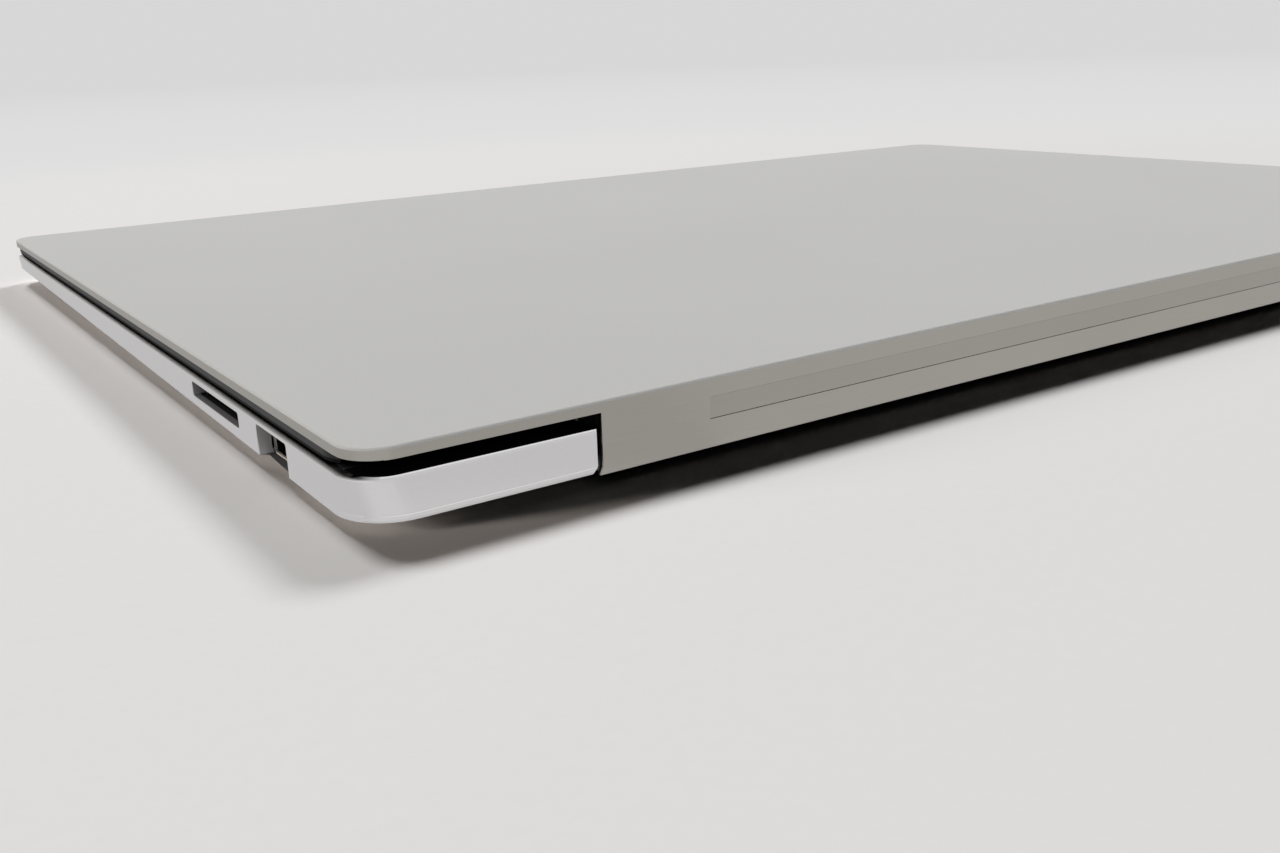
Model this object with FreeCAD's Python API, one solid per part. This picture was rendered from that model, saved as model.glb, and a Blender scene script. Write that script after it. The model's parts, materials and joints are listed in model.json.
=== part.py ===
import FreeCAD, Part
import math
import os

# Thin notebook computer, closed and standing on its feet.
# X runs to the user's right, Y to the hinge at the rear, Z up.
# The origin is under the middle of the footprint, on the table. Millimetres.

V = FreeCAD.Vector

# Overall form
WIDTH = 353.6
DEPTH = 243.0
CORNER_R = 6.0
LOW_CORNER_R = 8.0
FOOT_H = 1.5
BASE_H = 6.53
LID_GAP = 2.14
LID_EDGE_H = 1.73
LID_EDGE_R = 0.4

# Lower bevel of the base, which grows towards the front
BEVEL_REAR_H = 0.3
BEVEL_FRONT_H = 3.1
BOTTOM_RISE = 1.2
BEVEL_IN_SIDE = 3.0
BEVEL_IN_REAR = 1.4
BEVEL_IN_FRONT = 5.0
DECK_EDGE_IN = 1.3
DECK_EDGE_DROP = 0.55
DECK_REAR_IN = 0.05
REAR_STEP = 0.12
REAR_STEP_UP = 0.7
REAR_STEP_RISE = 0.15

# Walls of the base
DECK_T = 0.8
SIDE_WALL = 2.0
REAR_WALL = 0.8
WALL_LAP = 0.6
BOTTOM_LIP = 1.2
COVER_T = 0.8
COVER_FIT = 0.1

# Hinge line and the bay it turns in
HINGE_FROM_REAR = 2.2
HINGE_BELOW_LID = 4.27
OPEN_ANGLE_CLEAR = 0.45
BLOCK_W = 34.5
SKIRT_GAP = 0.8
SKIRT_T = 0.8
SKIRT_UNDER = 0.15
BLOCK_CUT = 1.2
SKIRT_FLARE = 0.5
BAY_WALL = 1.0
BARREL_T = 0.7
BARREL_FIT = 0.1
PIN_R = 1.0
PIN_BORE_R = 0.55
PIN_RUN_FIT = 0.04
PIN_SET_FIT = 0.02
KNUCKLE_L = 15.0
KNUCKLE_WALL = 0.35
BRACKET_L = 13.0
BRACKET_LEAF = 12.0
BRACKET_T = 0.7
BRACKET_FIT = 0.2
PIN_TAIL = 4.0
LEAF_W = 22.0
LEAF_L = 15.0
HINGE_SCREW_R = 1.0
HINGE_SCREW_HEAD_R = 1.7
HINGE_SCREW_FROM_END = 1.3
HINGE_SCREW_HEAD_H = 0.4

# Strip let into the skirt
STRIP_FROM_SIDE = 53.8
STRIP_BELOW_TOP = 3.05
STRIP_H = 3.2
STRIP_T = 0.3
STRIP_SUNK = 0.12
STRIP_FIT = 0.06

# Lid inside
LID_SKIN = 0.9
LID_RIM = 1.8
FRAME_IN = 0.6
FRAME_T = 1.5
FRAME_REAR = 6.4
SEAL_W = 1.0
SEAL_H = 0.5
SEAL_IN = 0.1
PANEL_W = 346.0
PANEL_D = 218.0
PANEL_FROM_FRONT = 7.0
PANEL_SUNK = 0.15
PANEL_FIT = 0.15
CAMERA_W = 24.0
CAMERA_D = 4.0
CAMERA_FROM_FRONT = 4.2
LENS_R = 1.3
LENS_FIT = 0.15
PANEL_BOARD_W = 150.0
PANEL_BOARD_D = 6.0
PANEL_BOARD_GAP = 1.5

# Keyboard
UNIT = 18.95
ROW = 18.6
TOP_ROW = 12.2
CAP_GAP = 2.5
CAP_FIT = 0.45
CAP_H = 1.5
CAP_ROOF = 0.6
CAP_WALL = 0.8
CAP_CORNER_R = 1.4
CAP_EDGE_R = 0.25
CAP_PROUD = 0.05
TRAVEL = 1.1
STROKE_SPARE = 0.1
PLATE_T = 0.35
PLATE_R = 2.0
PLATE_EDGE = 2.2
GUIDE_R = 2.0
STEM_R = 0.9
STEM_FIT = 0.15
STEM_GRIP = 0.1
STEM_PAIR_FROM = 30.0
STEM_PAIR_INSET = 8.0
RIM_T = 1.0
HALF_KEY_GAP = 1.0

# Touchpad
PAD_W = 150.0
PAD_FROM_FRONT = 4.6
PAD_R = 3.0
PAD_T = 0.8
PAD_FIT = 0.35
PAD_SUNK = 0.05
PAD_DROP_ROOM = 0.75
PAD_PLATE_T = 0.4
PAD_PLATE_EDGE = 2.0
PAD_RIB_W = 3.0
PAD_RIB_FIT = 0.05
KEYS_FROM_PAD = 6.0

# Air grille
GRILLE_W = 280.0
GRILLE_D = 13.0
GRILLE_T = 0.5
GRILLE_R = 1.0
GRILLE_FIT = 0.1
GRILLE_LEDGE = 1.2
GRILLE_FROM_KEYS = 3.6
GRILLE_FROM_BAY = 5.9
GRILLE_HOLE_R = 0.8
GRILLE_PITCH = 3.0
GRILLE_EDGE = 1.6

# Fans and cooling
FAN_FROM_BOARD = 4.0
FAN_FROM_SIDE = 37.8
FAN_FROM_BAY = 11.5
FAN_H = 2.2
FAN_SKIN = 0.3
FAN_RIM = 1.6
FAN_R = 3.0
FAN_EYE_R = 14.0
ROTOR_TIP = 0.8
ROTOR_HUB_R = 9.0
ROTOR_PIN_R = 1.5
ROTOR_FIT = 0.05
ROTOR_GAP = 0.3
BLADES = 25
BLADE_T = 0.6
FIN_D = 8.0
FIN_T = 0.4
FIN_PITCH = 2.0
FIN_BASE = 0.4
SPREADER_T = 0.6
SPREADER_W = 90.0
SPREADER_D = 40.0
OUTLETS = 8
OUTLET_W = 4.4
OUTLET_H = 1.4
OUTLET_PITCH = 6.0

# Boards
BOARD_T = 0.7
MAIN_W = 170.0
MAIN_D = 88.0
CHIP_H = 0.7
PROCESSOR_W = 32.0
PROCESSOR_D = 24.0
MEMORY_W = 12.0
MEMORY_D = 14.0
MEMORY_FROM_MIDDLE = 32.0
SSD_W = 80.0
SSD_D = 22.0
CARD_DROP = 0.55
WIRELESS_W = 22.0
WIRELESS_D = 30.0
PLUG_BLOCK = 5.0
PORT_BOARD_W = 26.0
PORT_BOARD_D = 55.0
POST_R = 1.8

# Battery and speakers
BATTERY_W = 236.0
BATTERY_FROM_FRONT = 14.6
BATTERY_H = 2.3
CELL_COUNT = 4
CELL_GAP = 2.0
CELL_R = 1.0
BATTERY_RAIL = 8.0
SPEAKER_FROM_BATTERY = 11.8
SPEAKER_FROM_FRONT = 18.6
SPEAKER_H = 3.4
SPEAKER_R = 3.0
SPEAKER_FROM_SIDE = 11.0
CONE_SHARE = 1 / 3
CONE_SUNK = 0.5

# Ports: distances are from the rear edge to the nearer end
SHELL_T = 0.25
PORT_TONGUE_T = 1.8
PORT_R = 0.3
TONGUE_RISE = 0.62
TONGUE_EASE = 0.06
TONGUE_BACK = 0.25
USB_FROM_REAR = 24.9
USB_W = 12.6
USB_H = 4.6
USB_DEEP = 14.0
USB_TOP = 1.05
USB_LIP = 0.25
USB_DROP = 0.4
CARD_SLOT_FROM_REAR = 46.1
CARD_SLOT_W = 24.4
CARD_SLOT_H = 2.5
CARD_SLOT_TOP = 1.4
CARD_SLOT_DEEP = 26.0
CARD_SHELL_T = 0.35
VIDEO_FROM_REAR = 25.6
VIDEO_W = 14.2
VIDEO_H = 4.5
VIDEO_DEEP = 11.0
OVAL_FROM_REAR = 48.0
OVAL_STEP = 14.5
OVAL_W = 8.4
OVAL_H = 2.6
OVAL_DEEP = 9.0
OVAL_TONGUE_T = 0.7
JACK_FROM_REAR = 79.0
JACK_R = 1.77
JACK_BODY = 6.0
JACK_H = 4.1
JACK_DEEP = 13.0
PORT_MID_BELOW_DECK = 3.35
PORT_EASE = 0.15
PORT_EASE_UNDER = 0.05
SOCKET_BACK = 0.3

# Feet and bottom screws
REAR_FOOT_W = 250.0
REAR_FOOT_D = 9.0
REAR_FOOT_FROM_REAR = 24.0
FRONT_FOOT_W = 46.0
FRONT_FOOT_D = 7.0
FOOT_END_FLAT = 0.2
FRONT_FOOT_FROM_FRONT = 22.0
FRONT_FOOT_X = 118.0
BOSS_R = 2.3
SCREW_R = 0.9
SCREW_HOLE_R = 1.0
SCREW_HEAD_R = 1.8
SCREW_HEAD_H = 0.45
SCREW_SUNK_SHARE = 0.2
SCREW_L = 2.6
VENT_SLOTS = 16
VENT_SLOT_W = 1.6
VENT_SLOT_D = 26.0
VENT_PITCH = 2.9
VENT_ROUND_SHARE = 0.98

# Panel lead
LEAD_R = 0.3
LEAD_BEND = 1.6
LEAD_MAIN_X = 62.0

# Derived levels
BASE_Z1 = FOOT_H + BASE_H
LID_Z0 = BASE_Z1 + LID_GAP
LID_Z1 = LID_Z0 + LID_EDGE_H
DECK_Z0 = BASE_Z1 - DECK_T
HALF_W = WIDTH / 2
HALF_D = DEPTH / 2
HINGE_Y = HALF_D - HINGE_FROM_REAR
HINGE_Z = LID_Z0 - HINGE_BELOW_LID
BAY_X = HALF_W - BLOCK_W
SKIRT_X = BAY_X - SKIRT_GAP
SKIRT_Z0 = FOOT_H - SKIRT_UNDER
BAY_R = math.hypot(HINGE_FROM_REAR, HINGE_Z - SKIRT_Z0) + OPEN_ANGLE_CLEAR
BARREL_R = HINGE_Z - SKIRT_Z0 - BARREL_FIT
POCKET_Z1 = LID_Z1 - LID_SKIN
FRAME_Z0 = LID_Z0 - FRAME_T
CAP_Z1 = BASE_Z1 + CAP_PROUD
CAP_Z0 = CAP_Z1 - CAP_H
PLATE_Z1 = CAP_Z0 - TRAVEL - STROKE_SPARE
PLATE_Z0 = PLATE_Z1 - PLATE_T
INNER_REAR = HINGE_Y - BAY_R - BAY_WALL
GRILLE_Y1 = INNER_REAR - GRILLE_FROM_BAY
GRILLE_Y0 = GRILLE_Y1 - GRILLE_D
KEYS_Y1 = GRILLE_Y0 - GRILLE_FROM_KEYS
KEYS_Y0 = KEYS_Y1 - 5 * ROW - TOP_ROW
KEYS_X = 7.5 * UNIT
PAD_Y0 = -HALF_D + PAD_FROM_FRONT
PAD_Y1 = KEYS_Y0 - KEYS_FROM_PAD
PAD_Z1 = BASE_Z1 - PAD_SUNK
PAD_Z0 = PAD_Z1 - PAD_T
PAD_PLATE_Z1 = PAD_Z0 - PAD_DROP_ROOM
FAN_X0 = MAIN_W / 2 + FAN_FROM_BOARD
FAN_X1 = HALF_W - FAN_FROM_SIDE
FAN_X = (FAN_X0 + FAN_X1) / 2
FAN_SIZE = FAN_X1 - FAN_X0
FAN_CAVE_R = FAN_SIZE / 2 - FAN_RIM
ROTOR_R = FAN_CAVE_R - ROTOR_TIP
FAN_Y = INNER_REAR - FAN_FROM_BAY - FAN_SIZE / 2
FIN_Y1 = INNER_REAR - BRACKET_FIT
BOARD_Z0 = PLATE_Z0 - BOARD_T
CHIP_Z0 = BOARD_Z0 - CHIP_H
SPREADER_Z0 = CHIP_Z0 - SPREADER_T
MAIN_Y1 = FAN_Y + FAN_SIZE / 2
PORT_BOARD_X0 = KEYS_X + PLATE_EDGE + PORT_EASE
SOCKET_X1 = HALF_W - SIDE_WALL - SOCKET_BACK
JACK_Z = DECK_Z0 - JACK_H / 2


def bottom_z(y):
    return FOOT_H + BOTTOM_RISE * (HALF_D - y) / DEPTH


def break_z(y):
    share = (HALF_D - y) / DEPTH
    return FOOT_H + BEVEL_REAR_H + (BEVEL_FRONT_H - BEVEL_REAR_H) * share


def box(x0, x1, y0, y1, z0, z1):
    return Part.makeBox(x1 - x0, y1 - y0, z1 - z0, V(x0, y0, z0))


def ring(x0, x1, y0, y1, r, level):
    """Rounded rectangle whose height is a level or a function of y."""
    height = level if callable(level) else (lambda y: level)

    def at(x, y):
        return V(x, y, height(y))

    k = r * (1 - math.sqrt(0.5))
    corners = [
        (at(x1 - r, y0), at(x1 - k, y0 + k), at(x1, y0 + r)),
        (at(x1, y1 - r), at(x1 - k, y1 - k), at(x1 - r, y1)),
        (at(x0 + r, y1), at(x0 + k, y1 - k), at(x0, y1 - r)),
        (at(x0, y0 + r), at(x0 + k, y0 + k), at(x0 + r, y0)),
    ]
    edges = []
    for i, arc in enumerate(corners):
        edges.append(Part.Arc(*arc).toShape())
        edges.append(Part.makeLine(arc[2], corners[(i + 1) % 4][0]))
    return Part.Wire(edges)


def rounded_box(x0, x1, y0, y1, z0, z1, r):
    return Part.Face(ring(x0, x1, y0, y1, r, z0)).extrude(V(0, 0, z1 - z0))


def skin(*rings):
    """Solid with straight walls from each ring to the next."""
    return Part.makeLoft(list(rings), True, True)


def rod_x(x0, x1, y, z, r):
    return Part.makeCylinder(r, x1 - x0, V(x0, y, z), V(1, 0, 0))


def rod_z(x, y, z0, z1, r):
    return Part.makeCylinder(r, z1 - z0, V(x, y, z0))


def slab_xz(points, y0, y1):
    """Profile of (x, z) points, run along Y."""
    wire = Part.makePolygon([V(x, y0, z) for x, z in points + points[:1]])
    return Part.Face(wire).extrude(V(0, y1 - y0, 0))


def mirrored(shape):
    return shape.mirror(V(0, 0, 0), V(1, 0, 0))


def joined(shapes):
    return shapes[0].fuse(shapes[1:]).removeSplitter()


def lead(points, r, bend):
    """Round lead through the points, with an arc at each turn."""
    edges = []
    start = points[0]
    for i in range(1, len(points) - 1):
        into = (points[i] - points[i - 1]).normalize()
        out = (points[i + 1] - points[i]).normalize()
        a = points[i] - into * bend
        b = points[i] + out * bend
        middle = points[i] + (out - into).normalize() * bend * (math.sqrt(2) - 1)
        edges.append(Part.makeLine(start, a))
        edges.append(Part.Arc(a, middle, b).toShape())
        start = b
    edges.append(Part.makeLine(start, points[-1]))
    path = Part.Wire(edges)
    away = (points[1] - points[0]).normalize()
    section = Part.Wire([Part.makeCircle(r, points[0], away)])
    return path.makePipeShell([section], True, False)


def bay(radius, side):
    """Space behind the base in which the hinge barrel turns."""
    x = BAY_X + side
    room = rod_x(-x, x, HINGE_Y, HINGE_Z, radius)
    behind = box(-x, x, HINGE_Y, HALF_D + radius, HINGE_Z - 2 * radius, HINGE_Z + 2 * radius)
    return room.fuse(behind)


def boss_places():
    rear_y = HINGE_Y - BRACKET_LEAF - BOSS_R
    front_y = -HALF_D + BEVEL_IN_FRONT + 4 * BOSS_R
    outer_x = HALF_W - SIDE_WALL - 4 * BOSS_R
    between_x = BATTERY_W / 2 + BOSS_R + PORT_EASE
    places = []
    for side in (-1, 1):
        places.append((side * outer_x, rear_y))
        places.append((side * outer_x, PAD_Y1 + PORT_BOARD_W))
        places.append((side * outer_x, front_y))
        places.append((side * between_x, PAD_Y1 - 4 * BOSS_R))
    return places


# Keyboard layout: every row is a list of (group, width in units, row part)

def key_places():
    """Each key as (group, x0, x1, y0, y1) of its cell."""
    row_sets = [
        [("modifier", 1.25), ("modifier", 1), ("modifier", 1), ("modifier", 1.25),
         ("space", 5.5), ("modifier", 1), ("modifier", 1),
         ("arrow", 1), ("arrow_pair", 1), ("arrow", 1)],
        [("left_shift", 2.25)] + [("lower_letter", 1)] * 10 + [("right_shift", 2.75)],
        [("home_letter", 1.75)] + [("home_letter", 1)] * 11 + [("enter", 2.25)],
        [("upper_letter", 1.5)] + [("upper_letter", 1)] * 12 + [("upper_letter", 1.5)],
        [("number", 1)] * 13 + [("backspace", 2)],
        [("escape", 1)] + [("function", 1)] * 13 + [("power", 1)],
    ]
    cells = []
    y0 = KEYS_Y0
    for index, row in enumerate(row_sets):
        y1 = y0 + (TOP_ROW if index == 5 else ROW)
        x0 = -KEYS_X
        for group, units in row:
            x1 = x0 + units * UNIT
            if group == "arrow_pair":
                middle = (y0 + y1) / 2
                part = (CAP_GAP - HALF_KEY_GAP) / 2
                cells.append(("arrow", x0, x1, y0, middle + part))
                cells.append(("arrow", x0, x1, middle - part, y1))
            else:
                cells.append((group, x0, x1, y0, y1))
            x0 = x1
        y0 = y1
    return cells


def cap_area(cell, grow=0.0):
    half = CAP_GAP / 2 - grow
    return cell[1] + half, cell[2] - half, cell[3] + half, cell[4] - half


def stem_places(cell):
    x0, x1, y0, y1 = cap_area(cell)
    middle = (y0 + y1) / 2
    if x1 - x0 < STEM_PAIR_FROM:
        return [((x0 + x1) / 2, middle)]
    return [(x0 + STEM_PAIR_INSET, middle), (x1 - STEM_PAIR_INSET, middle)]


def key_cap(cell):
    x0, x1, y0, y1 = cap_area(cell)
    cap = rounded_box(x0, x1, y0, y1, CAP_Z0, CAP_Z1, CAP_CORNER_R)
    rim = [e for e in cap.Edges if e.BoundBox.ZMin > CAP_Z1 - CAP_EDGE_R / 2]
    cap = cap.makeFillet(CAP_EDGE_R, rim)
    w = CAP_WALL
    inner_r = CAP_CORNER_R - w / 2
    hollow = rounded_box(x0 + w, x1 - w, y0 + w, y1 - w, CAP_Z0 - 1, CAP_Z1 - CAP_ROOF, inner_r)
    cap = cap.cut(hollow)
    tip = guide_top() - STEM_GRIP
    stems = [rod_z(x, y, tip, CAP_Z1 - CAP_ROOF, STEM_R) for x, y in stem_places(cell)]
    return joined([cap] + stems)


def guide_top():
    return CAP_Z1 - CAP_ROOF - TRAVEL - STROKE_SPARE


def key_group(name):
    caps = [key_cap(cell) for cell in key_places() if cell[0] == name]
    return caps[0] if len(caps) == 1 else Part.makeCompound(caps)


def keyboard_plate():
    e = PLATE_EDGE
    sheet = box(-KEYS_X - e, KEYS_X + e, KEYS_Y0 - e, KEYS_Y1 + e, PLATE_Z0, PLATE_Z1)
    guides = []
    holes = []
    for cell in key_places():
        for x, y in stem_places(cell):
            guides.append(rod_z(x, y, PLATE_Z0, guide_top(), GUIDE_R))
            holes.append(rod_z(x, y, PLATE_Z0 - 1, guide_top() + 1, STEM_R + STEM_FIT))
    return sheet.fuse(guides).cut(Part.makeCompound(holes)).removeSplitter()


# Base shell

def bevel_ring(inset, level):
    return ring(
        -HALF_W + BEVEL_IN_SIDE + inset, HALF_W - BEVEL_IN_SIDE - inset,
        -HALF_D + BEVEL_IN_FRONT + inset, HALF_D - BEVEL_IN_REAR - inset,
        LOW_CORNER_R - BEVEL_IN_SIDE, level)


def deck_ring():
    return ring(-HALF_W + DECK_EDGE_IN, HALF_W - DECK_EDGE_IN, -HALF_D + DECK_EDGE_IN,
                HALF_D - DECK_REAR_IN - REAR_STEP, CORNER_R - DECK_EDGE_IN, BASE_Z1)


def wall_ring(level, r, step):
    return ring(-HALF_W, HALF_W, -HALF_D, HALF_D - step, r, level)


def room_ring(level):
    return ring(-HALF_W + SIDE_WALL, HALF_W - SIDE_WALL, -HALF_D + SIDE_WALL, HALF_D - REAR_WALL,
                LOW_CORNER_R - REAR_WALL, level)


def base_form():
    """Solid form of the base: sloped deck edge, wall, small step out at the rear, and lower bevel."""
    def step_z(y):
        return break_z(y) + REAR_STEP_UP

    return skin(deck_ring(),
                wall_ring(BASE_Z1 - DECK_EDGE_DROP, CORNER_R, REAR_STEP),
                wall_ring(lambda y: step_z(y) + REAR_STEP_RISE, LOW_CORNER_R, REAR_STEP),
                wall_ring(step_z, LOW_CORNER_R, 0),
                wall_ring(break_z, LOW_CORNER_R, 0), bevel_ring(0, bottom_z))


def base_room():
    return skin(room_ring(DECK_Z0),
                room_ring(lambda y: break_z(y) + WALL_LAP),
                bevel_ring(BOTTOM_LIP, lambda y: bottom_z(y) + COVER_T),
                bevel_ring(BOTTOM_LIP, lambda y: bottom_z(y) - COVER_T))


def frame_under(x0, x1, y0, y1, z0, z1, r):
    t = RIM_T
    outer = rounded_box(x0, x1, y0, y1, z0, z1, r)
    return outer.cut(rounded_box(x0 + t, x1 - t, y0 + t, y1 - t, z0 - 1, z1 + 1, r - t / 2))


def port_cuts():
    """Openings in the side walls, as tools."""
    deep = SIDE_WALL + 1
    right = (HALF_W - deep, HALF_W + 1)
    left = (-HALF_W - 1, -HALF_W + deep)
    usb = port_box(right, USB_FROM_REAR, USB_W, BASE_Z1 - USB_TOP - USB_H - USB_DROP, USB_H + USB_DROP)
    card = port_box(right, CARD_SLOT_FROM_REAR, CARD_SLOT_W,
                    BASE_Z1 - CARD_SLOT_TOP - CARD_SLOT_H, CARD_SLOT_H)
    video = port_box(left, VIDEO_FROM_REAR, VIDEO_W, port_mid() - VIDEO_H / 2, VIDEO_H)
    cuts = [usb, card, video]
    for i in range(2):
        cuts.append(port_box(left, OVAL_FROM_REAR + i * OVAL_STEP, OVAL_W,
                             port_mid() - OVAL_H / 2, OVAL_H, OVAL_H / 2 - PORT_EASE))
    cuts.append(rod_x(left[0], left[1], HALF_D - JACK_FROM_REAR, JACK_Z, JACK_R + PORT_EASE))
    return cuts


def port_mid():
    return BASE_Z1 - PORT_MID_BELOW_DECK


def port_box(span, from_rear, wide, z0, high, r=0.5):
    """Rounded opening through a side wall."""
    y1 = HALF_D - from_rear
    block = box(span[0], span[1], y1 - wide, y1, z0, z0 + high)
    along = [e for e in block.Edges if abs(e.tangentAt(e.FirstParameter).x) > 0.9]
    return block.makeFillet(r, along)


def socket_rooms():
    """Space that the sockets need inside the shell and the bottom cover."""
    g = PORT_EASE
    rooms = []
    shapes = [usb_a_socket(), sd_card_socket(), hdmi_socket(), audio_jack()]
    for shape in shapes + usb_c_sockets().Solids:
        b = shape.BoundBox
        rooms.append(box(b.XMin - g, b.XMax + g, b.YMin - g, b.YMax + g,
                         b.ZMin - PORT_EASE_UNDER, DECK_Z0))
    return rooms


def top_case():
    keep = bay(BAY_R + BAY_WALL, BAY_WALL)
    shell = base_form().cut(base_room().cut(keep))
    shell = shell.cut(bay(BAY_R, 0))
    e = PLATE_EDGE
    under_keys = frame_under(-KEYS_X - e, KEYS_X + e, KEYS_Y0 - e, KEYS_Y1 + e, PLATE_Z1, DECK_Z0, PLATE_R)
    g = PAD_PLATE_EDGE
    under_pad = frame_under(-PAD_W / 2 - g, PAD_W / 2 + g, PAD_Y0 - g, PAD_Y1 + g,
                            PAD_PLATE_Z1, DECK_Z0, PAD_R)
    bosses = [rod_z(x, y, bottom_z(y) + COVER_T + WALL_LAP / 4, DECK_Z0, BOSS_R)
              for x, y in boss_places()]
    shell = shell.fuse([under_keys, under_pad] + bosses)
    tools = [rod_z(x, y, FOOT_H, DECK_Z0, SCREW_R - PIN_SET_FIT) for x, y in boss_places()]
    for cell in key_places():
        x0, x1, y0, y1 = cap_area(cell, CAP_FIT)
        tools.append(rounded_box(x0, x1, y0, y1, DECK_Z0 - 1, BASE_Z1 + 1, CAP_CORNER_R + CAP_FIT))
    f = PAD_FIT
    tools.append(rounded_box(-PAD_W / 2 - f, PAD_W / 2 + f, PAD_Y0 - f, PAD_Y1 + f,
                             DECK_Z0 - 1, BASE_Z1 + 1, PAD_R + f))
    f = GRILLE_FIT
    tools.append(rounded_box(-GRILLE_W / 2 - f, GRILLE_W / 2 + f, GRILLE_Y0 - f, GRILLE_Y1 + f,
                             BASE_Z1 - GRILLE_T, BASE_Z1 + 1, GRILLE_R + f))
    f = GRILLE_LEDGE
    tools.append(rounded_box(-GRILLE_W / 2 + f, GRILLE_W / 2 - f, GRILLE_Y0 + f, GRILLE_Y1 - f,
                             DECK_Z0 - 1, BASE_Z1 + 1, GRILLE_R))
    tools += port_cuts()
    tools += socket_rooms()
    for side in (-1, 1):
        for i in range(OUTLETS):
            x = side * FAN_X + (i - (OUTLETS - 1) / 2) * OUTLET_PITCH
            z = PLATE_Z0 - OUTLET_H
            tools.append(box(x - OUTLET_W / 2, x + OUTLET_W / 2,
                             INNER_REAR - 1, HINGE_Y - BAY_R + 1, z, z + OUTLET_H))
        hole = (BAY_X - 1, BAY_X + BAY_WALL + 1)
        span = hole if side > 0 else (-hole[1], -hole[0])
        tools.append(rod_x(span[0], span[1], HINGE_Y, HINGE_Z, PIN_R + PIN_RUN_FIT))
        c = BLOCK_CUT
        z = FOOT_H - 1
        corner = [(side * (BAY_X - 1), z), (side * (BAY_X + c + 1), z), (side * (BAY_X - 1), z + c + 2)]
        tools.append(slab_xz(corner, HALF_D - 2 * BEVEL_IN_REAR, HALF_D + 1))
    return shell.cut(Part.makeCompound(tools))


def bottom_cover():
    inset = BOTTOM_LIP + COVER_FIT
    plate = skin(bevel_ring(inset, lambda y: bottom_z(y) + COVER_T), bevel_ring(inset, bottom_z))
    plate = plate.cut(bay(BAY_R + BAY_WALL + COVER_FIT, BAY_WALL + COVER_FIT))
    tools = []
    for x, y in boss_places():
        tools.append(rod_z(x, y, FOOT_H - 1, DECK_Z0, SCREW_HOLE_R))
        tools.append(rod_z(x, y, FOOT_H - 1, bottom_z(y) + SCREW_HEAD_H, SCREW_HEAD_R + COVER_FIT))
    for side in (-1, 1):
        for i in range(VENT_SLOTS):
            x = side * FAN_X + (i - (VENT_SLOTS - 1) / 2) * VENT_PITCH
            h = VENT_SLOT_W / 2
            d = VENT_SLOT_D / 2
            tools.append(rounded_box(x - h, x + h, FAN_Y - d, FAN_Y + d, FOOT_H - 1, DECK_Z0,
                                     h * VENT_ROUND_SHARE))
    tools += socket_rooms()
    return plate.cut(Part.makeCompound(tools))


def below_cover(x0, x1, y0, y1, r):
    """Foot from the table up to the sloping bottom."""
    return skin(ring(x0, x1, y0, y1, r, bottom_z), ring(x0, x1, y0, y1, r, 0.0))


def rear_foot():
    y1 = HALF_D - REAR_FOOT_FROM_REAR
    return below_cover(-REAR_FOOT_W / 2, REAR_FOOT_W / 2, y1 - REAR_FOOT_D, y1,
                       REAR_FOOT_D / 2 - FOOT_END_FLAT)


def front_feet():
    y0 = -HALF_D + FRONT_FOOT_FROM_FRONT
    feet = []
    for side in (-1, 1):
        x = side * FRONT_FOOT_X
        half = FRONT_FOOT_W / 2
        feet.append(below_cover(x - half, x + half, y0, y0 + FRONT_FOOT_D,
                                FRONT_FOOT_D / 2 - FOOT_END_FLAT))
    return Part.makeCompound(feet)


def bottom_screws():
    screws = []
    for x, y in boss_places():
        z = bottom_z(y) + SCREW_HEAD_H * SCREW_SUNK_SHARE
        head = rod_z(x, y, z, bottom_z(y) + SCREW_HEAD_H, SCREW_HEAD_R)
        shank = rod_z(x, y, z, z + SCREW_L, SCREW_R - 2 * PIN_SET_FIT)
        screws.append(joined([head, shank]))
    return Part.makeCompound(screws)


def air_grille():
    x = GRILLE_W / 2
    outline = ring(-x, x, GRILLE_Y0, GRILLE_Y1, GRILLE_R, BASE_Z1 - GRILLE_T)
    holes = []
    reach_x = x - GRILLE_LEDGE - GRILLE_EDGE
    reach_y = GRILLE_D / 2 - GRILLE_LEDGE - GRILLE_EDGE
    rows = int(2 * reach_y / GRILLE_PITCH)
    columns = int(2 * reach_x / GRILLE_PITCH)
    middle = (GRILLE_Y0 + GRILLE_Y1) / 2
    for j in range(rows + 1):
        for i in range(columns - j % 2):
            place = V((i - (columns - 1 - j % 2) / 2) * GRILLE_PITCH,
                      middle + (j - rows / 2) * GRILLE_PITCH, BASE_Z1 - GRILLE_T)
            holes.append(Part.Wire([Part.makeCircle(GRILLE_HOLE_R, place)]))
    sheet = Part.Face(outline).cut(Part.makeCompound([Part.Face(h) for h in holes])).Faces[0]
    return sheet.extrude(V(0, 0, GRILLE_T))


# Touchpad

def touchpad():
    return rounded_box(-PAD_W / 2, PAD_W / 2, PAD_Y0, PAD_Y1, PAD_Z0, PAD_Z1, PAD_R)


def touchpad_bracket():
    g = PAD_PLATE_EDGE
    z0 = PAD_PLATE_Z1 - PAD_PLATE_T
    plate = rounded_box(-PAD_W / 2 - g, PAD_W / 2 + g, PAD_Y0 - g, PAD_Y1 + g, z0, PAD_PLATE_Z1, PAD_R)
    x = PAD_W / 2 - PAD_RIB_W
    rib = box(-x, x, PAD_Y1 - PAD_RIB_W, PAD_Y1, z0, PAD_Z0 - PAD_RIB_FIT)
    return joined([plate, rib])


# Cooling

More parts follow.
